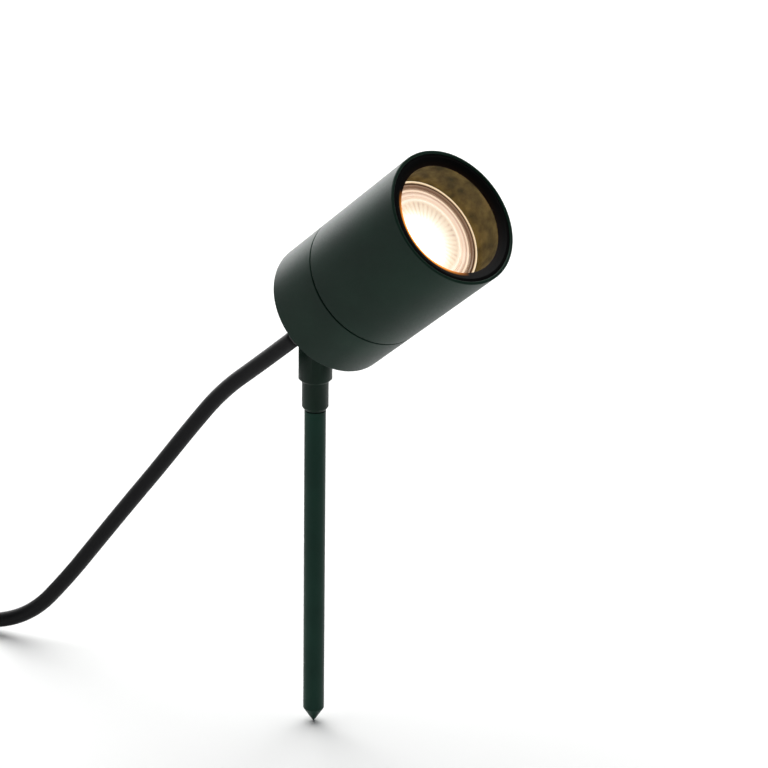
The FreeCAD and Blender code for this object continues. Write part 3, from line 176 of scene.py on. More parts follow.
def make_world():
    """A room that is white on one side and above, and dark where the glass, the bezel and the
    front of the barrel mirror it. The camera itself sees a plain pale backdrop."""
    world = bpy.data.worlds.new("studio")
    bpy.context.scene.world = world
    world.use_nodes = True
    tree = world.node_tree
    place = add(tree, "ShaderNodeTexCoord")
    towards = add(tree, "ShaderNodeVectorMath", {"operation": "DOT_PRODUCT"},
                  {1: WHITE_SIDE}, {0: place.outputs["Generated"]})
    share = add(tree, "ShaderNodeMapRange", values={"From Min": -1.0, "From Max": 1.0},
                links={"Value": towards.outputs["Value"]})
    shade = add(tree, "ShaderNodeValToRGB", links={"Fac": share.outputs["Result"]}, stops=[
        (0.0, "#202122"), (0.62, "#2A2C2E"), (0.72, "#9A9C9E"), (0.85, "#F8FAFC"),
        (1.0, "#FFFFFF")])
    room = tree.nodes["Background"]
    room.inputs["Strength"].default_value = 0.7
    tree.links.new(shade.outputs["Color"], room.inputs["Color"])
    backdrop = add(tree, "ShaderNodeBackground", values={"Color": linear("#9DA09E")})
    seen = add(tree, "ShaderNodeMixShader", links={
        0: add(tree, "ShaderNodeLightPath").outputs["Is Camera Ray"],
        1: room.outputs["Background"], 2: backdrop.outputs["Background"]})
    tree.links.new(seen.outputs["Shader"], tree.nodes["World Output"].inputs["Surface"])


def soft_light(name, place, aim, side, power):
    """A square white lamp at place that faces aim: metres and watts."""
    data = bpy.data.lights.new(name, "AREA")
    data.shape = "SQUARE"
    data.size = side
    data.energy = power
    way = Vector(aim) - Vector(place)
    turn = way.to_track_quat("-Z", "Y").to_matrix().to_4x4()
    placed(name, data).matrix_world = Matrix.Translation(place) @ turn


def make_lights():
    """One lamp for the highlight along the housing's upper side, and a large one above for the
    rest and the floor."""
    soft_light("left_softbox", place=(-1.6, 0.55, 0.35), aim=(0.0, 0.0, 0.02),
               side=1.1, power=12.5)
    soft_light("top_softbox", place=(-0.7, 0.7, 2.2), aim=(-0.35, 0.35, -0.15),
               side=3.0, power=72.0)


def make_floor():
    """A sheet of matte white paper at the level of the spike's tip."""
    data = bpy.data.meshes.new("studio_floor")
    level = GROUND * MM
    data.from_pydata([(-FLOOR_EDGE, -FLOOR_EDGE, level), (FLOOR_EDGE, -FLOOR_EDGE, level),
                      (FLOOR_EDGE, FLOOR_EDGE, level), (-FLOOR_EDGE, FLOOR_EDGE, level)],
                     [], [(0, 1, 2, 3)])
    paper, _, _ = finish_of("white_paper_backdrop", "#FBFBFA", 0.9, Specular_IOR_Level=0.1)
    data.materials.append(paper)
    placed("studio_floor", data)


# ---------------------------------------------------------------- materials

def finish_of(name, colour, roughness, metallic=0.0, **sockets):
    """A new material with plain values on its shader's own sockets."""
    made = bpy.data.materials.new(name)
    made.use_nodes = True
    tree = made.node_tree
    shader = tree.nodes["Principled BSDF"]
    shader.inputs["Base Color"].default_value = linear(colour)
    shader.inputs["Roughness"].default_value = roughness
    shader.inputs["Metallic"].default_value = metallic
    for key, value in sockets.items():
        shader.inputs[key.replace("_", " ")].default_value = value
    return made, tree, shader


def grain(tree, shader, size, depth, colours, roughness, patch=12.0, stretch=(1, 1, 1)):
    """Fine relief of that size and depth in millimetres, rougher where it is high, with a slow
    change between two colours over patches of that size."""
    place = add(tree, "ShaderNodeTexCoord")
    fine = add(tree, "ShaderNodeMapping", values={"Scale": stretch},
               links={"Vector": place.outputs["Object"]})
    noise = add(tree, "ShaderNodeTexNoise", values={"Scale": 1.0 / (size * MM), "Detail": 3.0},
                links={"Vector": fine.outputs["Vector"]})
    bump = add(tree, "ShaderNodeBump", values={"Strength": 1.0, "Distance": depth * MM},
               links={"Height": noise.outputs["Fac"]})
    tree.links.new(bump.outputs["Normal"], shader.inputs["Normal"])
    slow = add(tree, "ShaderNodeTexNoise", values={"Scale": 1.0 / (patch * MM), "Detail": 2.0},
               links={"Vector": place.outputs["Object"]})
    tint = add(tree, "ShaderNodeValToRGB", links={"Fac": slow.outputs["Fac"]},
               stops=[(0.35, colours[0]), (0.65, colours[1])])
    tree.links.new(tint.outputs["Color"], shader.inputs["Base Color"])
    spread = add(tree, "ShaderNodeMapRange", values={
        "From Min": 0.3, "From Max": 0.7, "To Min": roughness[0], "To Max": roughness[1]},
        links={"Value": noise.outputs["Fac"]})
    tree.links.new(spread.outputs["Result"], shader.inputs["Roughness"])


def green_powder_coat(name="green_powder_coat", shades=("#0B241A", "#112B20"), inside=None):
    """Polyester powder coat on aluminium or steel, baked: satin, with a shallow orange peel of
    about 0.6 mm that softens what it mirrors. Inside the bore, where given, the colour turns to a
    mottled brown-olive over 5 mm: painted light, the warm lamp's glow on the green wall."""
    made, tree, shader = finish_of(name, shades[0], 0.42, IOR=1.5, Specular_IOR_Level=0.1,
                                   Sheen_Weight=0.05, Sheen_Roughness=0.45)
    grain(tree, shader, size=0.6, depth=0.012, colours=shades, roughness=(0.38, 0.48), patch=25.0)
    # The bore's brown-olive is painted light: the lamp's warm glow on the green wall, mottled over
    # 5 mm.
    if inside:
        outer = shader.inputs["Base Color"].links[0].from_socket
        radius = add(tree, "ShaderNodeAttribute", {"attribute_name": "turned_radius"})
        bore = add(tree, "ShaderNodeMapRange", values={
            "From Min": BORE + 0.3, "From Max": BORE, "To Min": 0.0, "To Max": 1.0},
            links={"Value": radius.outputs["Fac"]})
        mottle = add(tree, "ShaderNodeTexNoise", values={"Scale": 1.0 / (5.0 * MM), "Detail": 6.0},
                     links={"Vector": add(tree, "ShaderNodeTexCoord").outputs["Object"]})
        layer = add(tree, "ShaderNodeValToRGB", links={"Fac": mottle.outputs["Fac"]},
                    stops=[(0.32, inside[0]), (0.68, inside[1])])
        both = add(tree, "ShaderNodeMixRGB", links={
            "Fac": bore.outputs["Result"], "Color1": outer, "Color2": layer.outputs["Color"]})
        tree.links.new(both.outputs["Color"], shader.inputs["Base Color"])
    return made


def black_anodised():
    """Anodised aluminium, turned: a dull black with a brown cast. An orange glow stands for the
    glare at the edge of the opening, over the part of the turn that is nearest to the lamp's
    hot side: full at the edge, gone 1.8 mm outside it."""
    hot_side, reach, core = 0.80, 0.17, 0.03                  # shares of a turn
    made, tree, shader = finish_of("black_anodised_aluminium", "#070808", 0.48, IOR=1.5,
                                   Specular_IOR_Level=0.05)
    grain(tree, shader, size=0.4, depth=0.006, colours=("#060708", "#0A0807"),
          roughness=(0.42, 0.54))
    radius = add(tree, "ShaderNodeAttribute", {"attribute_name": "turned_radius"})
    near = add(tree, "ShaderNodeMapRange", values={
        "From Min": BEZEL_BORE + 1.8, "From Max": BEZEL_BORE + 0.2, "To Min": 0.0, "To Max": 1.0},
        links={"Value": radius.outputs["Fac"]})
    own = add(tree, "ShaderNodeUVMap", {"uv_map": "turned"})
    split = add(tree, "ShaderNodeSeparateXYZ", links={"Vector": own.outputs["UV"]})
    from_side = add(tree, "ShaderNodeMath", {"operation": "SUBTRACT"}, {1: hot_side},
                    {0: split.outputs["X"]})
    away = add(tree, "ShaderNodeMath", {"operation": "ABSOLUTE"},
               links={0: from_side.outputs["Value"]})
    warm = add(tree, "ShaderNodeMapRange", values={
        "From Min": reach, "From Max": core, "To Min": 0.003, "To Max": 3.0},
        links={"Value": away.outputs["Value"]})
    glow = add(tree, "ShaderNodeMath", {"operation": "MULTIPLY"}, links={
        0: near.outputs["Result"], 1: warm.outputs["Result"]})
    shader.inputs["Emission Color"].default_value = linear("#EE8F38")
    tree.links.new(glow.outputs["Value"], shader.inputs["Emission Strength"])
    return made


def cord_rubber():
    """Extruded rubber sheath: matte, almost black, with faint lines drawn along it, each about
    0.6 mm wide and 17 mm long."""
    lines_per_turn, lines_per_metre = 40.0, 60.0
    made, tree, shader = finish_of("extruded_rubber_sheath", "#08080A", 0.5, IOR=1.52,
                                   Specular_IOR_Level=0.1)
    own = add(tree, "ShaderNodeUVMap", {"uv_map": "sheath"})
    drawn = add(tree, "ShaderNodeMapping",
                values={"Scale": (lines_per_turn, lines_per_metre, 1.0)},
                links={"Vector": own.outputs["UV"]})
    lines = add(tree, "ShaderNodeTexNoise", values={"Scale": 1.0, "Detail": 2.0},
                links={"Vector": drawn.outputs["Vector"]})
    tint = add(tree, "ShaderNodeValToRGB", links={"Fac": lines.outputs["Fac"]},
               stops=[(0.35, "#060608"), (0.65, "#0B0B0E")])
    tree.links.new(tint.outputs["Color"], shader.inputs["Base Color"])
    bump = add(tree, "ShaderNodeBump", values={"Strength": 0.6, "Distance": 0.02 * MM},
               links={"Height": lines.outputs["Fac"]})
    tree.links.new(bump.outputs["Normal"], shader.inputs["Normal"])
    return made


def moulded(name, colour, roughness, size=0.5, depth=0.01, lighter=None):
    """Moulded plastic, rubber or ceramic with the fine grain of its mould."""
    made, tree, shader = finish_of(name, colour, roughness, IOR=1.5)
    grain(tree, shader, size, depth, colours=(colour, lighter or colour),
          roughness=(roughness - 0.06, roughness + 0.06))
    return made


def turned_metal(name, colour, roughness):
    """Bare or plated metal off the lathe or press: marks of 0.25 mm, a little drawn out."""
    made, tree, shader = finish_of(name, colour, roughness, metallic=1.0)
    grain(tree, shader, size=0.25, depth=0.003, colours=(colour, colour),
          roughness=(roughness - 0.06, roughness + 0.08), stretch=(1.0, 0.3, 1.0))
    return made


def clear_glass():
    """Toughened float glass, 3.5 mm, polished: clear, faintly green in its thickness, with a
    breath of dust in spots of 3 mm."""
    made, tree, shader = finish_of("toughened_float_glass", "#F2FAF6", 0.02, IOR=1.5,
                                   Transmission_Weight=1.0)
    place = add(tree, "ShaderNodeTexCoord")
    dust = add(tree, "ShaderNodeTexNoise", values={"Scale": 1.0 / (3.0 * MM), "Detail": 4.0},
               links={"Vector": place.outputs["Object"]})
    haze = add(tree, "ShaderNodeMapRange", values={
        "From Min": 0.5, "From Max": 0.8, "To Min": 0.0, "To Max": 0.04},
        links={"Value": dust.outputs["Fac"]})
    tree.links.new(haze.outputs["Result"], shader.inputs["Roughness"])
    return made


def facet_shade(tree, share):
    """The dark between the lens's facets, unevenly strong: a wave round the turn with one
    period to a facet, in the band of radii that has facets."""
    own = add(tree, "ShaderNodeUVMap", {"uv_map": "turned"})
    split = add(tree, "ShaderNodeSeparateXYZ", links={"Vector": own.outputs["UV"]})
    count = add(tree, "ShaderNodeMath", {"operation": "MULTIPLY"}, {1: FACETS},
                {0: split.outputs["X"]})
    spokes = add(tree, "ShaderNodeMath", {"operation": "PINGPONG"}, {1: 0.5},
                 {0: count.outputs["Value"]})
    between = add(tree, "ShaderNodeMapRange", values={
        "From Min": 0.0, "From Max": 0.3, "To Min": 0.4, "To Max": 0.0},
        links={"Value": spokes.outputs["Value"]})
    band = add(tree, "ShaderNodeValToRGB", links={"Fac": share.outputs["Value"]},
               stops=[(0.30, 0.0), (0.40, 1.0), (0.68, 1.0), (0.75, 0.0)])
    place = add(tree, "ShaderNodeTexCoord")
    slow = add(tree, "ShaderNodeTexNoise", values={"Scale": 1.0 / (9.0 * MM)},
               links={"Vector": place.outputs["Object"]})
    uneven = add(tree, "ShaderNodeMapRange", values={
        "From Min": 0.4, "From Max": 0.6, "To Min": 0.15, "To Max": 1.0},
        links={"Value": slow.outputs["Fac"]})
    shown = add(tree, "ShaderNodeMath", {"operation": "MULTIPLY"}, links={
        0: band.outputs["Color"], 1: uneven.outputs["Result"]})
    return add(tree, "ShaderNodeMath", {"operation": "MULTIPLY"}, links={
        0: shown.outputs["Value"], 1: between.outputs["Result"]})


def hot_spot(tree):
    """The diodes' blown-out middle: full at a point beside the lens's middle, 5 mm to the gland's
    side and 2 mm towards the ground, and gone 20 mm from there."""
    middle = (PIVOT + AXIS * LAMP_TOP + FALL * 2.0 - ACROSS * 5.0) * MM
    place = add(tree, "ShaderNodeTexCoord")
    away = add(tree, "ShaderNodeVectorMath", {"operation": "DISTANCE"}, {1: tuple(middle)},
               {0: place.outputs["Object"]})
    share = add(tree, "ShaderNodeMath", {"operation": "DIVIDE"}, {1: 20.0 * MM},
                {0: away.outputs["Value"]})
    return add(tree, "ShaderNodeValToRGB", links={"Fac": share.outputs["Value"]},
               stops=[(0.0, 1.0), (0.35, 0.5), (0.58, 0.12), (0.8, 0.025), (1.0, 0.0)])


def lit_lens():
    """Moulded clear lens with the diodes alight behind it: blown out on one side of the middle,
    then cream facets, then rose-brown rings towards its edge. Its light is the rings' light
    times one less the facets' shade, plus 8 times the hot spot."""
    made, tree, shader = finish_of("lit_polycarbonate_lens", "#B9A790", 0.12, IOR=1.58)
    radius = add(tree, "ShaderNodeAttribute", {"attribute_name": "turned_radius"})
    share = add(tree, "ShaderNodeMath", {"operation": "DIVIDE"}, {1: LENS_RADIUS},
                {0: radius.outputs["Fac"]})
    colour = add(tree, "ShaderNodeValToRGB", links={"Fac": share.outputs["Value"]}, stops=[
        (0.00, "#FFF1E4"), (0.50, "#FFE8D6"), (0.70, "#FBDCC6"), (0.76, "#FFE9DA"),
        (0.80, "#F0CBB6"), (0.86, "#F6D6C6"), (0.90, "#DDB4A0"), (0.94, "#FBDCC8"),
        (0.97, "#C0957E"), (1.00, "#8E6A56")])
    rings = add(tree, "ShaderNodeValToRGB", links={"Fac": share.outputs["Value"]}, stops=[
        (0.00, 1.3), (0.70, 1.1), (0.76, 1.3), (0.80, 1.0), (0.86, 1.15), (0.90, 0.85),
        (0.94, 1.2), (0.97, 0.7), (1.00, 0.5)])
    unshaded = add(tree, "ShaderNodeMath", {"operation": "SUBTRACT"}, {0: 1.0},
                   {1: facet_shade(tree, share).outputs["Value"]})
    glow = add(tree, "ShaderNodeMath", {"operation": "MULTIPLY"}, links={
        0: rings.outputs["Color"], 1: unshaded.outputs["Value"]})
    strength = add(tree, "ShaderNodeMath", {"operation": "MULTIPLY_ADD"}, {1: 8.0},
                   {0: hot_spot(tree).outputs["Color"], 2: glow.outputs["Value"]})
    tree.links.new(colour.outputs["Color"], shader.inputs["Emission Color"])
    tree.links.new(strength.outputs["Value"], shader.inputs["Emission Strength"])
    return made


def lit_rim():
    """The lens's clear moulded border, lit from inside: a bright line at its outer edge, brown
    and rose between."""
    made, tree, shader = finish_of("lit_polycarbonate_rim", "#6A4C3A", 0.15, IOR=1.58)
    radius = add(tree, "ShaderNodeAttribute", {"attribute_name": "turned_radius"})
    share = add(tree, "ShaderNodeMapRange",
                values={"From Min": LENS_RADIUS - 0.2, "From Max": LAMP_RADIUS},
                links={"Value": radius.outputs["Fac"]})
    colour = add(tree, "ShaderNodeValToRGB", links={"Fac": share.outputs["Result"]}, stops=[
        (0.0, "#7A5643"), (0.30, "#C79F86"), (0.42, "#6B4A38"), (0.62, "#4E3629"),
        (0.72, "#F6CFA8"), (0.90, "#FFE9CF"), (1.0, "#FFD9AE")])
    power = add(tree, "ShaderNodeValToRGB", links={"Fac": share.outputs["Result"]}, stops=[
        (0.0, 0.40), (0.30, 1.0), (0.42, 0.5), (0.62, 0.5), (0.72, 1.2), (1.0, 1.3)])
    tree.links.new(colour.outputs["Color"], shader.inputs["Emission Color"])
    tree.links.new(power.outputs["Color"], shader.inputs["Emission Strength"])
    return made


# ---------------------------------------------------------------- forms

def mend(data, merge=None, outwards=False):
    """Merges points nearer than that many metres, and turns the faces outwards."""
    mesh = bmesh.new()
    mesh.from_mesh(data)
    if merge:
        bmesh.ops.remove_doubles(mesh, verts=mesh.verts, dist=merge)
    if outwards:
        bmesh.ops.recalc_face_normals(mesh, faces=mesh.faces)
    mesh.to_mesh(data)
    mesh.free()


def piece(name, points, faces, material):
    """A smooth object at the origin whose mesh holds these points, in millimetres."""
    data = bpy.data.meshes.new(name)
    data.from_pydata((np.asarray(points) * MM).tolist(), [], [tuple(face) for face in faces])
    data.materials.append(material)
    data.shade_smooth()
    return placed(name, data)


def rounded(profile, radius, steps=5):
    """The closed profile with each corner turned into a quadratic curve close to an arc of at
    most that radius, with the corner as its middle control point. The curve starts the radius
    times the tangent of half the turn before the corner, at most 0.4 of the shorter side."""
    spots = np.array(profile, float)
    before, after = np.roll(spots, 1, 0) - spots, np.roll(spots, -1, 0) - spots
    lengths = np.stack([np.linalg.norm(before, axis=1), np.linalg.norm(after, axis=1)])
    before, after = before / lengths[0][:, None], after / lengths[1][:, None]
    half = (math.pi - np.arccos(np.clip((before * after).sum(1), -1, 1))) / 2
    on_axis = spots[:, 0] < 1e-9
    cut = np.minimum(radius * np.tan(half), 0.4 * lengths.min(0))
    share = np.linspace(0, 1, steps)[:, None]
    out = []
    for spot, back, on, reach, kept in zip(spots, before, after, cut, on_axis):
        if kept:
            out.append(spot)
            continue
        first, last = spot + back * reach, spot + on * reach
        out.extend((1 - share) ** 2 * first + 2 * share * (1 - share) * spot + share ** 2 * last)
    return np.array(out)


def supported(profile, near=0.12):
    """Adds a point close to each end of a long side, so that smooth shading stays flat on it."""
    out = []
    for start, end in zip(profile, np.roll(profile, -1, 0)):
        length = np.linalg.norm(end - start)
        out.append(start)
        along_axis = start[0] < 1e-9 and end[0] < 1e-9
        if length > 6 * near and not along_axis:
            way = (end - start) / length
            out.extend([start + way * near, end - way * near])
    return np.array(out)


def head_points(x, y, w):
    """Points of the head's frame in the model's frame."""
    return (PIVOT + np.multiply.outer(w, AXIS) + np.multiply.outer(x, FALL)
            + np.multiply.outer(y, ACROSS))


def upright_points(x, y, w):
    """Points of an upright frame, w being the height above the spike's shoulder."""
    return np.stack([x, y, w], -1)


def turned(name, profile, material, place=head_points, edge=0.15, around=192, relief=None):
    """A turned piece: the closed profile of radius and height, walked with the solid on its
    left, is carried round the axis, so that x is the radius times the cosine of the angle and
    y the radius times its sine. Relief adds to the height by radius, height and angle. Each
    point keeps its radius, and the UV map unrolls the angle and the way along the profile."""
    outline = supported(rounded(profile, edge))
    radius, height = outline[:, 0], outline[:, 1]
    rows, angle = len(outline), np.linspace(0, 2 * math.pi, around, endpoint=False)
    spread = np.repeat(radius[:, None], around, 1)
    level = np.repeat(height[:, None], around, 1)
    if relief:
        level = level + relief(spread, level, angle[None, :])
    grid = place(spread * np.cos(angle), spread * np.sin(angle), level)
    index = np.arange(rows * around).reshape(rows, around)
    below, beyond = np.roll(index, -1, 0), np.roll(index, -1, 1)
    corner = np.roll(below, -1, 1)
    faces = np.stack([index, beyond, corner, below], -1).reshape(-1, 4)
    pole = radius < 1e-9
    keep = ~(pole[:, None] & np.roll(pole, -1)[:, None]).repeat(around, 1).reshape(-1)
    made = piece(name, grid.reshape(-1, 3), faces[keep], material)
    own = made.data.attributes.new("turned_radius", "FLOAT", "POINT")
    own.data.foreach_set("value", spread.reshape(-1).astype(np.float32))
    turn = np.repeat(np.arange(around)[None, :], rows, 0).reshape(-1)[keep] / around
    along = np.repeat(np.arange(rows)[:, None], around, 1).reshape(-1)[keep] / rows
    sheet = np.stack([np.stack([turn, along], -1),
                      np.stack([turn + 1.0 / around, along], -1),
                      np.stack([turn + 1.0 / around, along + 1.0 / rows], -1),
                      np.stack([turn, along + 1.0 / rows], -1)], 1)
    layer = made.data.uv_layers.new(name="turned")
    layer.data.foreach_set("uv", sheet.reshape(-1).astype(np.float32))
    mend(made.data, merge=1e-7, outwards=True)
    return made


def smooth_copy(node, material, angle=32.0):
    """A copy of a node's solid with its doubles merged and smooth faces between sharp edges."""
    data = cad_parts[node].data.copy()
    data.name = node + "_finish"
    mend(data, merge=1e-6)
    data.materials.clear()
    data.materials.append(material)
    data.shade_smooth()
    data.set_sharp_from_angle(angle=math.radians(angle))
    return placed(node + "_finish", data)


def dress(made, body, node):
    """The piece rides on its body and stands for its node, whose own solid is hidden."""
    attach(made, body)
    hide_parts(node)
    return made


# ---------------------------------------------------------------- cord

# The free route from the gland to the coil, after its first two points, which follow from the
# gland. The last four lie on the ground.
LEAD_ROUTE = [
    (-41.8, -17.1, 1.9), (-61.1, -19.5, -21.1), (-79.6, -22.6, -44.8), (-97.9, -26.5, -67.9),
    (-115.4, -31.0, -91.0), (-132.0, -35.8, -113.4), (-151.5, -42.3, -137.0),
    (-175.0, -51.6, -147.5), (-200.0, -61.2, -147.5), (-230.0, -67.6, -147.5),
    (-287.3, -67.6, -147.5)]


def coil_points(start, heading):
    """Control points of the put-away coil. Each half turn has points at equal angles, on a
    circle larger by one over the cosine of half a step, so that the curve between them has the
    turn's radius. Radii shrink by half a pitch to the middle, climb one layer, grow again, and
    the last half turn climbs to the middle of the plug."""
    spot, way, size, level = start + heading * CORD_DIAMETER, heading, COIL_RADIUS, 0.0
    step = math.pi / POINTS_PER_HALF
    angle = ((np.arange(POINTS_PER_HALF) + 0.5) * step)[:, None]
    plug_climb = GROUND + PLUG_RADIUS - start[2] - COIL_PITCH
    climbs = {IN_TURNS: COIL_PITCH, IN_TURNS + OUT_TURNS: plug_climb}
    upwards = np.array([0, 0, 1.0])
    rows = []
    for turn in range(IN_TURNS + 1 + OUT_TURNS):
        side = np.array([way[1], -way[0], 0.0])
        centre = spot + side * size
        rise = climbs.get(turn, 0.0)
        reach = size / math.cos(step / 2)
        rows.append(centre - side * reach * np.cos(angle) + way * reach * np.sin(angle)
                    + upwards * (level + rise * angle / math.pi))
        spot, way = centre + side * size, -way
        level += rise
        size += -COIL_PITCH / 2 if turn < IN_TURNS else COIL_PITCH / 2
    return np.concatenate(rows), spot + upwards * level + way * CORD_DIAMETER, way


def cord_route():
    """The cord's control points from gland to plug, and the last of them."""
    second = GLAND_MOUTH - AXIS * CORD_STRAIGHT
    lead = np.array([GLAND_MOUTH, second] + LEAD_ROUTE)
    heading = lead[-1] - lead[-2]
    heading = heading / np.linalg.norm(heading)
    coil, end, way = coil_points(lead[-1], heading)
    plug = end + way * TAIL_LENGTH
    return np.concatenate([lead, coil, [end, plug]]), plug


def line_of(route):
    """Points along the smooth spline that has the route as its control points, in metres."""
    data = bpy.data.curves.new("cord_line", "CURVE")
    data.dimensions = "3D"
    data.resolution_u = 14
    spline = data.splines.new("NURBS")
    spline.points.add(len(route) - 1)
    spline.points.foreach_set("co", np.c_[route * MM, np.ones(len(route))].reshape(-1))
    spline.order_u = 3
    spline.use_endpoint_u = True
    holder = placed("cord_line", data)
    bpy.context.view_layer.update()
    mesh = bpy.data.meshes.new_from_object(holder)
    line = np.empty(3 * len(mesh.vertices), np.float32)
    mesh.vertices.foreach_get("co", line)
    bpy.data.objects.remove(holder)
    bpy.data.meshes.remove(mesh)
    return line.reshape(-1, 3).astype(float)


def make_cord(rubber, around=28):
    """The whole cord as one tube: circles of the cord's radius square to its line, each spanned
    by the level side direction and the one square to it. The UV map unrolls the turn and the
    length in metres. Returns the tube, its line, its length and the plug's place."""
    route, plug_base = cord_route()
    line = line_of(route)
    way = np.gradient(line, axis=0)
    way /= np.linalg.norm(way, axis=1)[:, None]
    side = np.cross(way, (0.0, 0.0, 1.0))
    side /= np.linalg.norm(side, axis=1)[:, None]
    rise = np.cross(side, way)
    angle = np.linspace(0, 2 * math.pi, around, endpoint=False)[None, :, None]
    radius = CORD_DIAMETER / 2 * MM
    rings = line[:, None] + radius * (np.cos(angle) * side[:, None] + np.sin(angle) * rise[:, None])
    index = np.arange(len(line) * around).reshape(-1, around)
    faces = np.stack([index[:-1], index[1:], np.roll(index[1:], -1, 1),
                      np.roll(index[:-1], -1, 1)], -1).reshape(-1, 4).tolist()
    ends = [index[0].tolist(), index[-1][::-1].tolist()]
    made = piece("cord", rings.reshape(-1, 3) / MM, faces + ends, rubber)
    length = np.r_[0, np.cumsum(np.linalg.norm(np.diff(line, axis=0), axis=1))]
    turn = np.repeat(np.arange(around)[None, :] / around, len(line) - 1, 0)
    low = np.repeat(length[:-1, None], around, 1)
    high = np.repeat(length[1:, None], around, 1)
    sheet = np.stack([np.stack([turn, low], -1), np.stack([turn, high], -1),
                      np.stack([turn + 1 / around, high], -1),
                      np.stack([turn + 1 / around, low], -1)], 2).reshape(-1)
    both_ends = np.zeros(2 * 2 * around)
    layer = made.data.uv_layers.new(name="sheath")
    layer.data.foreach_set("uv", np.r_[sheet, both_ends].astype(np.float32))
    mend(made.data, outwards=True)
    return made, line, float(length[-1]), plug_base


# ---------------------------------------------------------------- head

def make_rear_cap(coat):
    """Cap with its spigot, the O-ring's groove round that, and the cavity."""
    chamfer = 0.7
    spigot, spigot_end = BORE - 0.25, SEAM + 9.0
    cavity = spigot - 3.35
    groove, groove_low, groove_high = BORE - 2.05, SEAM + 3.3, SEAM + 5.5
    cap = turned("rear_cap_finish", [
        (0, REAR), (OUTER - chamfer, REAR), (OUTER, REAR + chamfer), (OUTER, SEAM - SEAM_HALF),
        (OUTER - SEAM_DEPTH, SEAM), (spigot, SEAM), (spigot, groove_low), (groove, groove_low),
        (groove, groove_high), (spigot, groove_high), (spigot, spigot_end),
        (cavity, spigot_end), (cavity, CAP_FLOOR), (0, CAP_FLOOR)], coat, edge=0.2)
    dress(cap, "head", "rear_cap")


def make_front_barrel():
    """Tube with the recess for glass and bezel at its front."""
    chamfer, lead_in = 0.3, 0.25
    # The bore's brown-olive colours are painted light from the lamp, not a coat of their own.
    coat = green_powder_coat("green_powder_coat_lamp_lit_bore", inside=("#4C472C", "#8E7E50"))
    barrel = turned("front_barrel_finish", [
        (BORE + lead_in, SEAM), (OUTER - SEAM_DEPTH, SEAM), (OUTER, SEAM + SEAM_HALF),
        (OUTER, RIM - chamfer), (OUTER - chamfer, RIM), (RECESS + chamfer, RIM),
        (RECESS, RIM - chamfer), (RECESS, SHOULDER), (BORE, SHOULDER),
        (BORE, SEAM + 2 * lead_in)], coat, edge=0.25)
    dress(barrel, "barrel", "front_barrel")


def make_bezel(black):
    """Ring in front of the glass: a flat land, then a slope down to its opening."""
    land, opening_edge = 1.4, RIM - 1.85
    bezel = turned("bezel_ring_finish", [
        (BEZEL_BORE, GLASS_TOP), (RECESS, GLASS_TOP), (RECESS, BEZEL_FRONT),
        (RECESS - land, BEZEL_FRONT), (BEZEL_BORE, opening_edge)], black, edge=0.2)
    dress(bezel, "barrel", "bezel_ring")


def make_front_glass(glass):
    """Flat disc with ground edges."""
    radius = RECESS - 0.3
    pane = turned("front_glass_finish", [
        (0, GASKET_TOP), (radius, GASKET_TOP), (radius, GLASS_TOP), (0, GLASS_TOP)],
        glass, edge=0.3)
    dress(pane, "barrel", "front_glass")


def make_lens(lens):
    """Lens with a zigzag of rings near its edge, a middle that is hollowed by a cone, and facets:
    between their two radii the height falls off by a triangle wave round the turn."""
    thickness, border, hollow, sunk, facet_depth = 3.0, 0.2, 0.5, 0.1, 0.35
    ring_count, ring_pitch, ring_depth = 12, 0.45, 0.45
    middle_count, middle_pitch = 41, 0.4
    rings = [(LENS_RADIUS - border - ring_pitch * number, LENS_TOP - ring_depth * (number % 2))
             for number in range(ring_count)]
    middle = [(radius, LENS_TOP - sunk - hollow * (1 - radius / FACET_OUTER))
              for radius in FACET_OUTER - border - middle_pitch * np.arange(middle_count)]
    back = LENS_TOP - thickness

    def relief(radius, level, angle):
        """The facets' triangle wave."""
        wave = np.abs(((angle / (2 * math.pi) * FACETS) % 1.0) - 0.5) * 2
        front = level > LENS_TOP - thickness / 2
        faceted = front & (radius > FACET_INNER) & (radius < FACET_OUTER)
        return np.where(faceted, -facet_depth * wave, 0.0)

    made = turned("lamp_lens_finish", [
        (0, back), (LENS_RADIUS, back), (LENS_RADIUS, LENS_TOP - border)] + rings + middle + [
        (0, LENS_TOP - sunk - hollow)], lens, edge=0.08, around=240, relief=relief)
    dress(made, "lamp", "lamp_lens")


def make_lens_rim(rim):
    """The lens's border: a bead outside, a small step inside, and a dip between."""
    foot = LAMP_TOP - 3.4
    border = turned("lamp_rim_finish", [
        (LENS_RADIUS, foot), (LAMP_RADIUS, foot), (LAMP_RADIUS, LAMP_TOP - 0.3),
        (24.4, LAMP_TOP), (24.1, LAMP_TOP - 0.5), (23.3, LAMP_TOP - 0.6),
        (23.1, LAMP_TOP - 0.2), (LENS_RADIUS, LAMP_TOP - 0.4)], rim, edge=0.1)
    dress(border, "lamp", "lamp_rim")


def make_lamp_body(shell):
    """The lamp's flared body, smoothed between its edges."""
    dress(smooth_copy("lamp_body", shell, angle=25.0), "lamp", "lamp_body")


# ---------------------------------------------------------------- spike, stem and joint

def make_spike():
    """Ground spike and its point as one turned bar, with the grooved pin for the stem."""
    flat, pin, groove, chamfer = 0.35, 3.0, 2.4, 0.5
    groove_low, groove_high, top = 6.6, 8.4, 12.5
    spike = turned("ground_spike_finish", [
        (0, GROUND), (flat, GROUND), (SPIKE_RADIUS, POINT), (SPIKE_RADIUS, 0), (pin, 0),
        (pin, groove_low), (groove, groove_low), (groove, groove_high), (pin, groove_high),
        (pin, top - chamfer), (pin - chamfer, top), (0, top)],
        green_powder_coat("green_powder_coat_on_steel", ("#13342A", "#193C31")),
        place=upright_points, edge=0.15, around=96)
    dress(spike, "spike", "ground_spike")


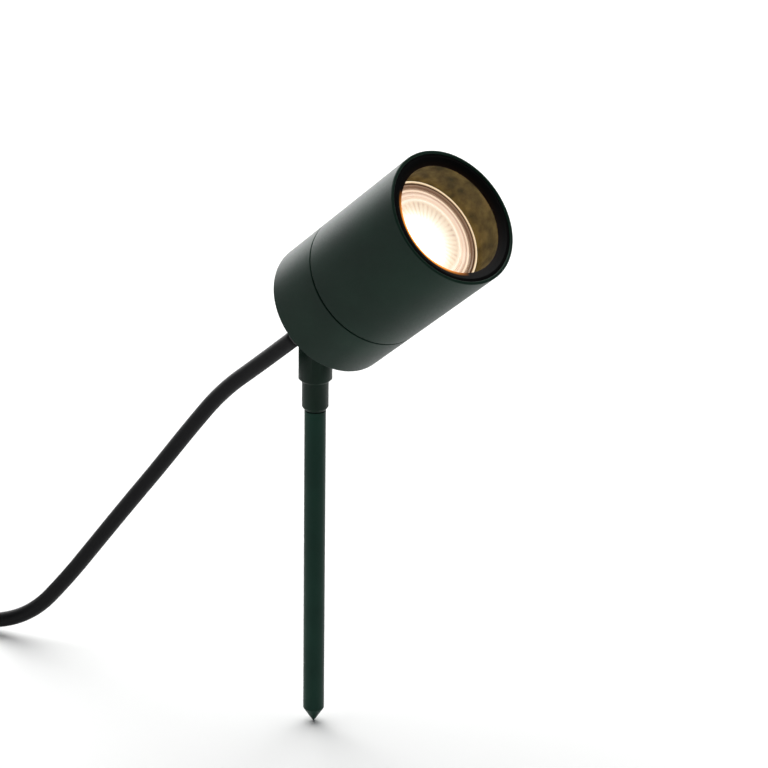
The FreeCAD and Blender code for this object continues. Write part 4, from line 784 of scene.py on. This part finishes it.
def make_stem():
    """Forked stem, its coat a little darker than the head above it: painted shadow of the head."""
    # The darker green is painted shadow: the head's shade falling on the stem below it.
    shaded = green_powder_coat("green_powder_coat_stem_painted_shadow", ("#061C13", "#0A2419"))
    dress(smooth_copy("swivel_stem", shaded), "stem", "swivel_stem")


def make_lug(coat):
    """The head's lug, which turns in the fork."""
    dress(smooth_copy("tilt_lug", coat), "head", "tilt_lug")


def make_gland(nickel):
    """Gland body and its nut, smoothed between their hexagons' edges."""
    for node in ("gland_body", "gland_nut"):
        dress(smooth_copy(node, nickel), "head", node)


# ---------------------------------------------------------------- tie and plug

def make_tie(plastic):
    """The strap round the coil, its corners softened."""
    strap = dress(smooth_copy("cord_tie", plastic), "stem", "cord_tie")
    bevel = strap.modifiers.new("soft_corners", "BEVEL")
    bevel.width, bevel.segments = 0.38 * MM, 3
    bevel.limit_method = "ANGLE"


def plug_frame(base):
    """The plug's frame: w runs along -X from the cord's end."""
    return lambda x, y, w: np.stack([base[0] - w, base[1] + y, base[2] + x], -1)


def make_boot(base, plastic):
    """The plug's strain relief: a taper cut by a slot after each of its ribs."""
    length, small_end, large_end = 30.0, 5.2, 7.65
    rib_count, first_rib, rib_pitch, rib_width = 8, 2.5, 3.3, 2.1
    slot_depth, draft = 1.0, 0.1
    ribs = []
    for low in first_rib + rib_pitch * np.arange(rib_count):
        radius = small_end + (large_end - small_end) * low / length
        ribs += [(radius, low), (radius, low + rib_width),
                 (radius - slot_depth, low + rib_width + draft),
                 (radius - slot_depth, low + rib_pitch - draft)]
    boot = turned("plug_boot_finish", [(0, 0), (small_end, 0)] + ribs + [
        (large_end, length - 0.8), (large_end, length), (0, length)],
        plastic, place=plug_frame(base), edge=0.25, around=64)
    return dress(boot, "stem", "plug_boot")


def make_plug_body(base, plastic):
    """The plug's body, with five rings round its taper for the fingers, sunk into it."""
    taper_start, taper_length, taper_radius, taper_growth = 37.2, 9.0, 10.2, 1.7
    ring_count, first_ring, ring_pitch, ring_width = 5, 38.6, 1.7, 0.8
    sunk, proud, slope = 1.5, 0.5, 0.1
    body = smooth_copy("plug_body", plastic)
    joined = bmesh.new()
    joined.from_mesh(body.data)
    for low in first_ring + ring_pitch * np.arange(ring_count):
        radius = taper_radius + taper_growth * (low - taper_start) / taper_length
        high, inside, outside = low + ring_width, radius - sunk, radius + proud
        ring = turned("finger_rib", [
            (inside, low), (outside, low), (outside + slope, high), (inside, high)],
            plastic, place=plug_frame(base), around=64)
        joined.from_mesh(ring.data)
        bpy.data.objects.remove(ring)
    joined.to_mesh(body.data)
    joined.free()
    dress(body, "stem", "plug_body")


# ---------------------------------------------------------------- the whole object

make_camera()
make_world()
make_lights()
make_floor()

rubber = cord_rubber()
cord, line, cord_length, plug_base = make_cord(rubber)
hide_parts("cord_lead", "cord_coil", "cord_tail")

coat = green_powder_coat()
plastic = moulded("moulded_black_pvc", "#1C1B1D", 0.5, lighter="#222123")
gasket = moulded("black_rubber_seal", "#161517", 0.7, size=0.4, depth=0.006)
white = moulded("white_moulded_lamp_body", "#E6E4DE", 0.35)
ceramic = moulded("white_steatite", "#E9E4DA", 0.3, size=0.8, lighter="#F1ECE2")
insulation = moulded("cream_moulded_insulation", "#D9D5C8", 0.45)
board = moulded("white_coated_diode_board", "#E4E5E2", 0.4)
steel = turned_metal("stainless_steel", "#A9ABAA", 0.32)
black_steel = turned_metal("black_oxide_steel", "#161718", 0.45)
brass = turned_metal("nickel_plated_brass", "#C3B389", 0.3)
black_nickel = turned_metal("black_nickel_plated_brass", "#0E0E0F", 0.5)

make_rear_cap(coat)
make_front_barrel()
make_bezel(black_anodised())
make_front_glass(clear_glass())
make_lens(lit_lens())
make_lens_rim(lit_rim())
make_lamp_body(white)
make_spike()
make_stem()
make_lug(coat)
make_gland(black_nickel)
make_tie(plastic)
boot = make_boot(plug_base, plastic)
make_plug_body(plug_base, plastic)

# Solids whose shape stays as it is, by finish.
PLAIN = {
    gasket: ["seam_o_ring", "glass_gasket", "gland_seal", "cord_inner_end"],
    black_steel: ["swivel_washer", "friction_washer_left", "friction_washer_right",
                  "stem_grub_screw"],
    steel: ["tilt_screw", "tilt_nut", "lug_screws", "bracket_screws", "earth_screw",
            "holder_bracket"],
    brass: ["lamp_contacts", "lamp_pins", "plug_pins", "plug_earth_clips", "terminal_screws"],
    ceramic: ["lamp_holder"],
    insulation: ["holder_base", "terminal_block", "holder_leads"],
    board: ["led_board"],
    moulded("brown_wire_insulation", "#5B3420", 0.4): ["live_wire"],
    moulded("blue_wire_insulation", "#2B5AA0", 0.4): ["neutral_wire"],
    moulded("green_wire_insulation", "#6E9A2E", 0.4): ["earth_wire"],
}
for finish, names in PLAIN.items():
    for name in names:
        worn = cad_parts[name].data.materials
        worn.clear()
        worn.append(finish)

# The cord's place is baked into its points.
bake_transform(cord)
